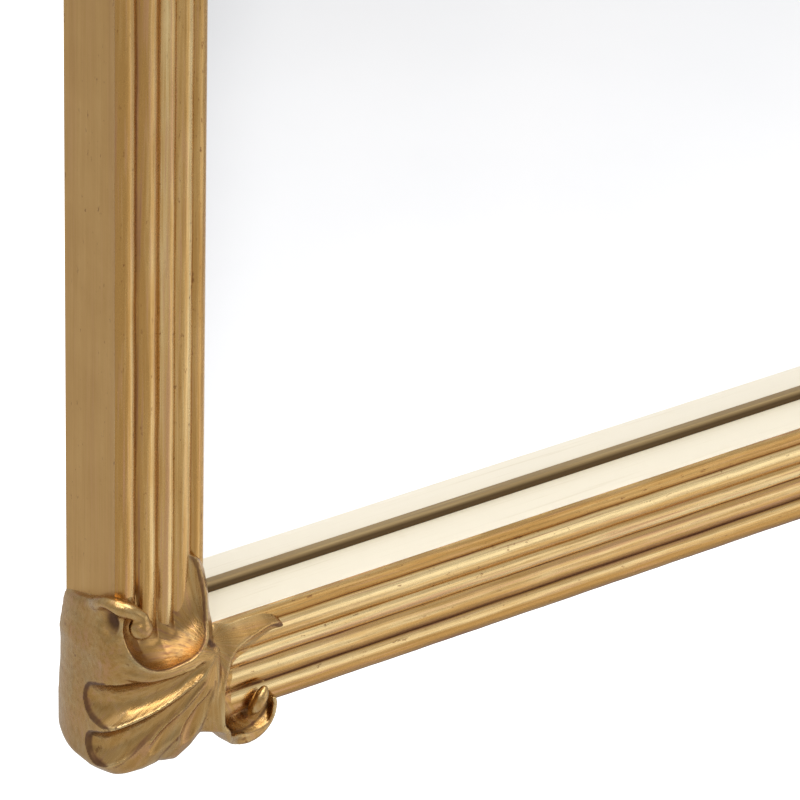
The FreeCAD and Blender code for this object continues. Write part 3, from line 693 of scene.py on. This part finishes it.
# balls that are added or cut away: place and radius
ROOT_KNOT = (50.5, 55.5, 66.5, 6.5)
ROOT_CUT = (57.5, 63.0, 69.0, 3.0)
STILE_KNOB = (9.5, 85.5, 64.0, 7.0)
SIDE_CUT = (-10.0, 88.0, 53.0, 10.0)
RAIL_CURL = [(98.5, 13.5, 58.5, 2.6), (96, 10, 59, 4.2), (93, 4.5, 58, 4.2), (90.5, -1, 56, 1.8)]
STILE_LIP = [
    (10, 92.5, 65, 3.4), (3.3, 97, 60, 4.8), (-2.5, 98, 52, 5.4), (-3.5, 95, 42, 4.4), (-2.5, 91, 32, 2.2),
]
STILE_HOLLOW = [(34, 118), (34.5, 102), (34, 92), (32.5, 86.5), (23.5, 85.5), (24, 90), (28, 118)]
RAIL_HOLLOW = [(120, 31), (107, 33), (95, 29.5), (89.5, 27.5), (89.5, 14)]
HOLLOW_RADIUS = 27.0
HOLLOW_TOP = 74.0
HOLLOW_DEPTH = 27.0
CUP_MIDDLE = (86.0, 3.0)
CUP_RADIUS = 20.3
CUP_WALL = 3.0
CUP_RIM = 62.0
CUP_TOP = 9.0
CREST = 62.6
ARM_TIP = (115.0, 50.0)
LEFT_BULGE = ((-15, 20, 40, 63, 83, 100), (11, 11, 9.7, 9, 5.4, 3))
LOWER_BULGE = ((-15, 5, 14, 22, 25, 28, 36, 45, 53, 62), (11, 13, 13.5, 12.5, 11.5, 12.5, 14, 9, 1.5, 0))
BELLY = (40.0, 40.0, 30.0)
BELLY_RADIUS = 71.0
BELLY_REACH = 14.0
REED_BED = 26.0
ROOT = (56.0, 58.0)
RIM_AT_TIP = 54.0
RIM_FALL = 0.2
RIM_SHOULDER = 8.5
SHOULDER_PLACE = 69.0
SHOULDER_SPREAD = 3.5
RIPPLE_EDGE = 26.0
RIPPLE_FADE = 14.0
RIPPLE_SHARE = 0.45
RIM_WIDTH = 1.0
LEAST_SHARE = 0.05
BACK_SLOPE = 1.35
SLOPE_SCALE = 0.62
WALL_REACH = 14.0
TIP_SLANT = (0.85, 0.5)
DRAW_IN = 5.5
DRAW_IN_HEIGHT = 26.0
DOME_HEIGHT = 71.0
DOME_REACH = 45.0
DOME_CURVE = 0.0056
SWELL_HEIGHT = 3.5
SWELL_PLACE = 40.0
SWELL_SPREAD = 13.0
RIM_COVER = 1.5
INNER_CORNER = 61.0
ARM_WIDTH = 18.0
ARM_END = 83.0
ARM_END_SLANT = 0.3
STILE_ARM_WIDTH = 20.0
RAIL_OVERHANG = 1.0
RAIL_WALL_END = (90.0, 32.0)
CUP_TAPER = 0.010
CUP_TAPER_HEIGHT = 48.0
CUP_CUT = (92.0, 11.0)
CUP_FOOT = 12.0
CUP_OPENING = 0.08
CUP_OPENING_START = 2.0
CUP_OPENING_FADE = 8.0
BED_SINK = 0.4
BED_FALL = 0.15
BED_FALL_START = 92.0
BED_DISH = 0.02
BED_DISH_START = 14.0
BED_EDGE = 2.0
FIT_OVERLAP = 1.2
FIT_HEIGHT = 48.5
BACK_GAP = 0.6
BLOCK_LOW = (-24, -24, 0)
BLOCK_HIGH = (122, 122, 86)
BLOCK_STEP = 1.0


def plan_distance(along, up, line):
    """Distance in plan from a line of straight runs."""
    near = np.full(along.shape, FAR * 10, np.float32)
    for (start_along, start_up), (end_along, end_up) in zip(line[:-1], line[1:]):
        run = (end_along - start_along, end_up - start_up)
        share = ((along - start_along) * run[0] + (up - start_up) * run[1]) / (run[0] ** 2 + run[1] ** 2)
        share = np.clip(share, 0, 1)
        square = (along - start_along - share * run[0]) ** 2 + (up - start_up - share * run[1]) ** 2
        np.minimum(near, np.sqrt(square), out=near)
    return near


def rim_height(along):
    """Height of a scroll's rim: it drops from the root and then falls slowly to the tip."""
    shoulder = RIM_SHOULDER / (1.0 + np.exp((along - SHOULDER_PLACE) / SHOULDER_SPREAD))
    return np.minimum(RIM_AT_TIP + (ARM_TIP[0] - along) * RIM_FALL + shoulder, HOLLOW_TOP)


def reed_ripple(across):
    """Height of the reeds over the outer edge, wherever a reed is."""
    lowest = OUTER_SIDE_HEIGHT - REED_ZONE
    places = [place for place in moulding_section() if place[2] == GOLD and place[1] > lowest]
    heights = [place[1] - OUTER_SIDE_HEIGHT for place in places]
    return np.interp(across, [place[0] for place in places], heights)


def hollow_bowl(plan, across, forward):
    """Bowl round a scroll's middle line, where the reeds run out and fade."""
    below = np.maximum(HOLLOW_TOP - forward, 0.0) / HOLLOW_DEPTH
    bowl = (np.sqrt((plan / HOLLOW_RADIUS) ** 2 + below * below) - 1.0) * HOLLOW_DEPTH
    fade = np.clip((RIPPLE_EDGE - plan) / RIPPLE_FADE, 0.0, 1.0)
    return bowl + RIPPLE_SHARE * fade * reed_ripple(across)


def scroll_wall(plan, across, along, forward):
    """Wall round a scroll's hollow: its rim falls away to the tip, its back slopes to the frame."""
    rim = rim_height(along)
    share = np.sqrt(np.maximum(1.0 - ((HOLLOW_TOP - rim) / HOLLOW_DEPTH) ** 2, LEAST_SHARE))
    beyond = np.maximum(plan - HOLLOW_RADIUS * share - RIM_WIDTH, 0.0)
    top = (forward - rim + BACK_SLOPE * beyond) * SLOPE_SCALE
    wall = np.maximum(plan - (HOLLOW_RADIUS + WALL_REACH), top)
    wall = np.maximum(wall, across - CREST)
    tip = (along - ARM_TIP[0]) * TIP_SLANT[0] + (across - ARM_TIP[1]) * TIP_SLANT[1]
    return rounded_within(wall, tip, radius=2.0)


def drawn_in(v):
    """How far the shell's sides are drawn in towards the wall."""
    return DRAW_IN * (np.maximum(DRAW_IN_HEIGHT - v, 0.0) / DRAW_IN_HEIGHT) ** 2


def left_side(u, w, v):
    return -(u + np.interp(w, *LEFT_BULGE) - drawn_in(v))


def past_arm(distance, v):
    """Distance past the end of an arm, which slants outward as it rises."""
    return distance - (ARM_END + ARM_END_SLANT * v)


def shell_mass(u, w, v):
    """Swollen corner of the shell, and the arms that run out from it along both outer sides."""
    below = -(w + np.interp(u, *LOWER_BULGE) - drawn_in(v))
    sides = rounded_within(left_side(u, w, v), below, radius=10.0, power=4)
    belly = np.sqrt((u - BELLY[0]) ** 2 + (w - BELLY[1]) ** 2 + (v - BELLY[2]) ** 2) - BELLY_RADIUS
    sides = np.maximum(sides, np.where(np.maximum(u, w) < BELLY_REACH, belly, -FAR))
    inward = np.maximum(DOME_REACH + sides, 0.0)
    off_swell = (u - SWELL_PLACE) ** 2 + (w - SWELL_PLACE) ** 2
    swell = SWELL_HEIGHT * np.exp(-off_swell / (2 * SWELL_SPREAD ** 2))
    dome = DOME_HEIGHT - DOME_CURVE * inward ** 2 + swell
    top = soft_least(dome, rim_height(np.maximum(u, w)) + RIM_COVER, soft=4.0)
    mass = rounded_within(v - top, sides, radius=7.0)
    corner = rounded_within(u - INNER_CORNER, w - INNER_CORNER, radius=4.0)
    arms = soft_least(corner, np.minimum(u, w) - ARM_WIDTH, soft=6.0)
    mass = rounded_within(mass, arms, radius=5.0)
    return rounded_within(mass, past_arm(np.maximum(u, w), v), radius=4.0)


def add_scroll_walls(block, stile_plan, rail_plan, cup_plan):
    """Walls of the two scrolls, and the cup under the rail's."""
    u, w, v = block.along, block.up, block.forward
    stile_wall = rounded_within(scroll_wall(stile_plan, u, w, v), left_side(u, w, v), radius=5.0)
    outer_end = np.where(u < STILE_ARM_WIDTH, past_arm(w, v), -FAR)
    block.join(rounded_within(stile_wall, outer_end, radius=2.0), soft=4.0)
    rail_side = soft_least(-(w + RAIL_OVERHANG), cup_plan - CUP_RADIUS, soft=4.0)
    rail_wall = rounded_within(scroll_wall(rail_plan, w, u, v), rail_side, radius=5.0)
    rail_end = soft_least(u - RAIL_WALL_END[0], RAIL_WALL_END[1] - w, soft=6.0)
    block.join(rounded_within(rail_wall, rail_end, radius=4.0), soft=4.0)
    cup = cup_plan - CUP_RADIUS + CUP_TAPER * np.maximum(CUP_TAPER_HEIGHT - v, 0.0) ** 2
    cup = rounded_within(cup, v - np.maximum(rim_height(u), CUP_RIM), radius=2.0)
    cup = rounded_within(cup, soft_least(CUP_CUT[0] - u, w - CUP_CUT[1], soft=3.0), radius=2.0)
    block.join(rounded_within(cup, CUP_FOOT - v, radius=6.0), soft=5.0)


def cut_hollows(block, stile_plan, rail_plan, cup_plan):
    """Bowls of the two scrolls, with the ends of the reeds lying in them."""
    u, w, v = block.along, block.up, block.forward
    block.carve(hollow_bowl(stile_plan, u, v), soft=0.8)
    on_left = np.clip((CUP_MIDDLE[0] - u) / CUP_OPENING_FADE, 0.0, 1.0)
    opening = CUP_OPENING * np.maximum(w + CUP_OPENING_START, 0.0) ** 2 * on_left
    inside_cup = np.where(w < CUP_TOP, cup_plan - (CUP_RADIUS - CUP_WALL) - opening, -FAR)
    block.carve(np.maximum(hollow_bowl(rail_plan, w, v), inside_cup), soft=0.8)
    for plan, across, along in ((stile_plan, u, w), (rail_plan, w, u)):
        sunk = BED_SINK + BED_FALL * np.maximum(along - BED_FALL_START, 0.0)
        sunk = sunk + BED_DISH * np.maximum(plan - BED_DISH_START, 0.0) ** 2
        bed = v - (OUTER_SIDE_HEIGHT - sunk + reed_ripple(across))
        block.join(np.maximum(np.maximum(bed, plan - REED_BED), BED_EDGE - across), soft=5.0)


def carve_shell():
    """The whole shell, cut to sit on the mouldings, its flutes kept for the painted shade at their ends."""
    block = Block(BLOCK_LOW, BLOCK_HIGH, BLOCK_STEP)
    u, w, v = block.along, block.up, block.forward
    block.join(shell_mass(u, w, v), soft=0.1)
    stile_plan = plan_distance(u, w, STILE_HOLLOW)
    rail_plan = plan_distance(u, w, RAIL_HOLLOW)
    cup_plan = np.sqrt((u - CUP_MIDDLE[0]) ** 2 + (w - CUP_MIDDLE[1]) ** 2)
    add_scroll_walls(block, stile_plan, rail_plan, cup_plan)
    cut_hollows(block, stile_plan, rail_plan, cup_plan)
    block.join(block.ball(*ROOT_KNOT), soft=3.0)
    block.join(block.tube(SHOULDER_RIDGE), soft=3.0)
    block.flutes = [block.tube(flute) for flute in FLUTES]
    for flute in block.flutes:
        block.carve(flute, soft=0.7)
    block.carve(block.ball(*ROOT_CUT), soft=4.0)
    block.join(block.ball(*STILE_KNOB), soft=1.2)
    block.join(block.tube(RAIL_CURL), soft=1.2)
    block.join(block.tube(STILE_LIP), soft=2.5)
    block.carve(block.ball(*SIDE_CUT), soft=3.0)
    moulding = np.maximum(np.maximum(FIT_OVERLAP - u, FIT_OVERLAP - w), v - FIT_HEIGHT)
    block.field = np.maximum(np.maximum(block.field, -moulding), BACK_GAP - v).astype(np.float32)
    return block


LIE_TURN = 28.0
LIE_DEPTH = 0.5


def shell_lie(points):
    """Way that the leaf was laid on the shell: out from the root, and round it."""
    off_along = points[:, 0] - ROOT[0]
    off_up = points[:, 1] - ROOT[1]
    outward = -(off_along + off_up) / math.sqrt(2)
    sideways = (off_along - off_up) / math.sqrt(2)
    turn = np.arctan2(sideways, outward)
    lie = [np.hypot(off_along, off_up), turn * LIE_TURN, points[:, 2] * LIE_DEPTH]
    return np.stack(lie, axis=1) * MM


def near_to(points, place, reach):
    """One at a place, falling to nothing at the reach from it."""
    return np.clip(1.0 - np.linalg.norm(points - np.array(place), axis=1) / reach, 0.0, 1.0)


# how strong the shell's painted shade is, and how far it reaches, at rims, bowls, flute ends, petals, crevice
# and dent
RIM_DARK = 0.8
RIM_SKIN, BOWL_SKIN = 0.9, 3.0
RIM_LINE = (1.2, 1.6)
BOWL_DARK = 0.52
BOWL_START, BOWL_FADE = 3.0, 6.0
FLUTE_DARK, FLUTE_FADE = 0.85, 3.0
FLUTE_SKIN = 2.0
PETAL_DARK, PETAL_WIDTH = 0.7, 1.7
PETALS_ABOVE = 56.0
CREVICE_DARK, CREVICE_REACH = 1.4, 6.0
DENT_DARK, DENT_REACH = 1.3, 13.0


def shell_painted_shade(block, points):
    """Painted shade of the shell: inside the rims, at the flutes' far ends, between petals and in crevices.
    """
    u, w, v = points.T
    dark = np.zeros(len(points))
    for line, across, along in ((STILE_HOLLOW, u, w), (RAIL_HOLLOW, w, u)):
        bowl = np.abs(hollow_bowl(plan_distance(u, w, line), across, v))
        under = rim_height(along) - v
        rim_line = np.clip(RIM_LINE[1] - np.abs(under - RIM_LINE[0]), 0.0, 1.0)
        dark = np.maximum(dark, RIM_DARK * (bowl < RIM_SKIN) * rim_line)
        in_bowl = np.clip((under - BOWL_START) / BOWL_FADE, 0.0, 1.0)
        dark = np.maximum(dark, BOWL_DARK * (bowl < BOWL_SKIN) * in_bowl)
    for flute, end in zip(block.flutes, FLUTE_ENDS):
        on_flute = np.clip(FLUTE_SKIN - np.abs(sampled(block, flute, points)), 0.0, 1.0)
        dark = np.maximum(dark, on_flute * np.clip((end - u) / FLUTE_FADE, 0.0, FLUTE_DARK))
    for line in PETAL_LINES:
        on_line = np.clip(PETAL_WIDTH - plan_distance(u, w, line), 0.0, 1.0)
        dark = np.maximum(dark, PETAL_DARK * on_line * (v > PETALS_ABOVE))
    dark = np.maximum(dark, CREVICE_DARK * near_to(points, CREVICE, CREVICE_REACH))
    return np.maximum(dark, DENT_DARK * near_to(points, SIDE_DENT, DENT_REACH))


def skin(block):
    """Points and four-sided faces of the block's surface."""
    inside = block.field < 0
    field = block.field
    counts = np.array(block.shape) - 1
    total = np.zeros((*counts, 3), np.float32)
    crossings = np.zeros(counts, np.float32)
    corners = [(a, b, c) for a in (0, 1) for b in (0, 1) for c in (0, 1)]

    def corner(values, place):
        return values[tuple(slice(p, p + n) for p, n in zip(place, counts))]

    for start in corners:
        for axis in range(3):
            if start[axis]:
                continue
            end = tuple(1 if i == axis else p for i, p in enumerate(start))
            first = corner(field, start)
            second = corner(field, end)
            crossed = corner(inside, start) != corner(inside, end)
            gap = np.where(crossed, first - second, 1.0)
            share = np.where(crossed, first / gap, 0.0)
            crossings += crossed
            for i in range(3):
                total[..., i] += np.where(crossed, start[i] + (share if i == axis else 0.0), 0.0)
    used = crossings > 0
    number = np.full(counts, -1, np.int64)
    number[used] = np.arange(int(used.sum()))
    cells = np.argwhere(used)
    points = cells + total[used] / crossings[used][:, None]
    faces = []
    for axis in range(3):
        one, two = [i for i in range(3) if i != axis]
        low = [slice(1, n) for n in counts]
        low[axis] = slice(0, counts[axis])
        high = list(low)
        high[axis] = slice(1, counts[axis] + 1)
        before = inside[tuple(low)]
        after = inside[tuple(high)]
        edges = np.argwhere(before != after)
        leaving = before[before != after]
        base = edges.copy()
        base[:, one] += 1
        base[:, two] += 1
        ring = []
        for back_one, back_two in ((0, 0), (1, 0), (1, 1), (0, 1)):
            cell = base.copy()
            cell[:, one] -= back_one
            cell[:, two] -= back_two
            ring.append(number[cell[:, 0], cell[:, 1], cell[:, 2]])
        quad = np.stack(ring, axis=1)
        flip = leaving if axis != 1 else ~leaving
        quad[flip] = quad[flip][:, ::-1]
        faces.append(quad)
    return block.low + points * block.step, np.vstack(faces)


def sampled(block, values, points):
    """Grid values at places between the grid's own."""
    place = (points - block.low) / block.step
    base = np.clip(np.floor(place).astype(int), 0, np.array(block.shape) - 2)
    part = place - base
    result = 0.0
    for a in (0, 1):
        for b in (0, 1):
            for c in (0, 1):
                weight = 1.0
                for i, step in enumerate((a, b, c)):
                    weight = weight * (part[:, i] if step else 1 - part[:, i])
                result = result + weight * values[base[:, 0] + a, base[:, 1] + b, base[:, 2] + c]
    return result


def blurred(values, reach):
    for axis in range(3):
        padded = np.concatenate([np.repeat(np.take(values, [0], axis), reach + 1, axis), values,
                                 np.repeat(np.take(values, [-1], axis), reach, axis)], axis)
        total = np.cumsum(padded, axis=axis, dtype=np.float64)
        size = values.shape[axis]
        high = np.take(total, range(2 * reach + 1, 2 * reach + 1 + size), axis)
        low = np.take(total, range(0, size), axis)
        values = ((high - low) / (2 * reach + 1)).astype(np.float32)
    return values


CROWD_REACH = 2
SHADE_FROM, SHADE_GAIN = 0.505, 4.6
HIGHLIGHT_FROM, HIGHLIGHT_GAIN = 0.48, 4.0
shell = carve_shell()
shell_points, shell_faces = skin(shell)
# painted shade where the carving crowds in round a point, painted highlight where it stands clear
solid = np.clip(0.5 - shell.field, 0.0, 1.0)
crowding = sampled(shell, blurred(blurred(solid, CROWD_REACH), CROWD_REACH), shell_points)
crowded = np.clip((crowding - SHADE_FROM) * SHADE_GAIN, 0.0, 1.0)
shell_shade = np.maximum(crowded, shell_painted_shade(shell, shell_points))
shell_highlight = np.clip((HIGHLIGHT_FROM - crowding) * HIGHLIGHT_GAIN, 0.0, 1.0)
CORNERS = {"lower_left": (-1, -1), "lower_right": (1, -1), "upper_left": (-1, 1), "upper_right": (1, 1)}
for corner_name, (side, level) in CORNERS.items():
    places = to_frame(shell_points[:, 0], shell_points[:, 1], shell_points[:, 2], side, level)
    turned = shell_faces if side == level else shell_faces[:, ::-1]
    ornament = new_piece(f"{corner_name}_ornament", places, turned.tolist(), [carved_gold])
    add_measures(ornament, shell_lie(shell_points), shell_shade, shell_highlight)
    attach(ornament, "frame")
    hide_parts(f"{corner_name}_ornament")

# Finishes of the pieces that keep their own shape
plated = steel_finish("zinc_plate", ZINC, DULL_ZINC, rough=0.24)
screw_steel = steel_finish("screw_steel", STEEL, DULL_STEEL, rough=0.3)
KEPT_FINISHES = {
    "mirror": mirror_finish(),
    "felt": felt_finish(),
    "hardboard": board_finish(),
    "black_rubber": rubber_finish(),
    "screw_steel": screw_steel,
    "plated_steel": plated,
}
NODE_WORDS = {
    "glass": "mirror", "sheet": "felt", "board": "hardboard", "block": "black_rubber", "pad": "black_rubber",
    "screws": "screw_steel", "brace": "plated_steel", "strap": "plated_steel", "ring": "plated_steel",
    "button": "plated_steel",
}
for node_name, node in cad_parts.items():
    word = node_name.split("_")[-1]
    if word in NODE_WORDS:
        for place in range(len(node.material_slots)):
            node.material_slots[place].material = KEPT_FINISHES[NODE_WORDS[word]]

# Floor, light and camera
FLOOR_DROP = 0.35
FLOOR_SIZE = 12.0
FLOOR_DIMMING = 0.5
STRIP_SLANT = 0.75
STRIP_LIGHT = 0.72
FLOOR_LIGHT = 0.04
ROOM_LIGHT = 0.50
WALL_LIGHT = 0.06
CEILING_LIGHT = 0.48
WINDOW_LIGHT = 0.75


def floor_finish():
    """Pale and matt; white in the picture, and to metal and glass brightest where the mirror looks."""
    material, finish = new_material("pale_floor")
    place = object_space(finish)
    mottle = finish.noise(place, 3.0, 3.0)
    shine = finish.light_path("Is Glossy Ray", "Is Transmission Ray")
    colour = finish.mix(mottle.between(0.3, 0.7), FLOOR_PALE, FLOOR_PALER)
    colour = finish.mix(shine * FLOOR_DIMMING, colour, FLOOR_TO_METAL)
    matt = finish.node("ShaderNodeBsdfDiffuse", {}, {"Color": colour})
    across = finish.part(place, "X")
    ahead = finish.part(place, "Y")
    # painted reflection: a glowing strip on the floor, seen only by metal and glass, stands in for a lamp
    # before the mirror
    off_stile = across + ahead * STRIP_SLANT
    strip = off_stile.between(-0.58, -0.34) * (1.0 - off_stile.between(0.35, 0.55))
    before_mirror = strip * (1.0 - ahead.between(-0.5, -0.25)) * ahead.between(-3.0, -0.2)
    seen = finish.light_path("Is Camera Ray") + shine * (FLOOR_LIGHT + before_mirror * STRIP_LIGHT)
    glow = finish.mix(seen, BLACK, FLOOR_GLOW)
    white = finish.node("ShaderNodeEmission", {}, {"Color": glow, "Strength": 1.0})
    finish.output(finish.node("ShaderNodeAddShader", {}, {0: matt, 1: white}))
    return material


def add_floor():
    half = FLOOR_SIZE / 2
    level = cad_box[0][2] - FLOOR_DROP
    plan = ((-half, -half), (half, -half), (half, half), (-half, half))
    corners = np.array([(across, ahead, level) for across, ahead in plan])
    floor = new_piece("floor", corners, [(0, 1, 2, 3)], [floor_finish()])


def add_lamp(name, place, aim, size, power):
    light = bpy.data.lights.new(name, "AREA")
    light.shape = "RECTANGLE"
    light.size, light.size_y = size
    light.energy = power
    lamp = bpy.data.objects.new(name, light)
    lamp.location = place
    lamp.rotation_euler = (Vector(aim) - Vector(place)).to_track_quat("-Z", "Y").to_euler()
    bpy.context.scene.collection.objects.link(lamp)


def add_world():
    """A room that is white in the picture; metal and paint see it dimmer, with a window in front."""
    world = bpy.data.worlds.new("studio")
    bpy.context.scene.world = world
    world.use_nodes = True
    room = Finish(world.node_tree)
    camera = room.light_path("Is Camera Ray")
    direction = room.node("ShaderNodeTexCoord", {}, {}, output="Generated")
    across = room.part(direction, "X")
    ahead = room.part(direction, "Y")
    upward = room.part(direction, "Z")
    walls = upward.between(0.1, 0.45) * WALL_LIGHT
    ceiling = upward.between(0.6, 0.95) * CEILING_LIGHT
    window = across.between(0.25, 0.42) * (1.0 - ahead.between(-0.5, -0.2))
    window = window * upward.between(-0.2, -0.05) * (1.0 - upward.between(0.26, 0.46))
    dim = ROOM_LIGHT + walls + ceiling + window * WINDOW_LIGHT
    strength = camera + (1.0 - camera) * dim
    background = room.node("ShaderNodeBackground", {}, {"Color": (1, 1, 1, 1), "Strength": strength})
    room.output(background, "ShaderNodeOutputWorld")


add_floor()
add_world()
add_lamp("top_softbox", place=(-0.3, -0.5, 2.2), aim=(-0.1, 0.0, -0.3), size=(2.0, 1.6), power=28)
add_lamp("left_softbox", place=(-1.6, -1.3, 1.5), aim=(-0.35, 0.0, -0.5), size=(0.7, 0.7), power=8)

# Camera of the photograph, at its place before the lower left corner
FOCAL_PIXELS = 5320.0
IMAGE_PIXELS = 800.0
SENSOR_WIDTH = 36.0
CAMERA_REACH = 50.0
CAMERA_TURN = math.radians(36.5)
CAMERA_TILT = math.radians(27.5)
CAMERA_ROLL = math.radians(-1.59)
CAMERA_OFFSET = (192.96, 181.77, -3074.0)


def add_camera():
    turn, tilt = CAMERA_TURN, CAMERA_TILT
    level = np.array([
        (math.cos(turn), -math.sin(turn), 0.0),
        (math.sin(turn) * math.sin(tilt), math.cos(turn) * math.sin(tilt), math.cos(tilt)),
        (math.sin(turn) * math.cos(tilt), math.cos(turn) * math.cos(tilt), -math.sin(tilt)),
    ])
    roll = np.array([
        (math.cos(CAMERA_ROLL), -math.sin(CAMERA_ROLL), 0.0),
        (math.sin(CAMERA_ROLL), math.cos(CAMERA_ROLL), 0.0),
        (0.0, 0.0, 1.0),
    ])
    axes = roll @ level
    corner = np.array([-HALF_WIDTH, BACK_PLANE, -HALF_HEIGHT])
    place = (corner + axes.T @ np.array(CAMERA_OFFSET)) * MM
    data = bpy.data.cameras.new("camera")
    data.sensor_width = SENSOR_WIDTH
    data.lens = SENSOR_WIDTH * FOCAL_PIXELS / IMAGE_PIXELS
    data.clip_end = CAMERA_REACH
    camera = bpy.data.objects.new("camera", data)
    right, up, ahead = axes
    turned = Matrix((right, up, -ahead)).transposed().to_4x4()
    camera.matrix_world = Matrix.Translation(Vector(place)) @ turned
    bpy.context.scene.collection.objects.link(camera)
    bpy.context.scene.camera = camera


add_camera()
bpy.context.scene.view_settings.view_transform = "Standard"
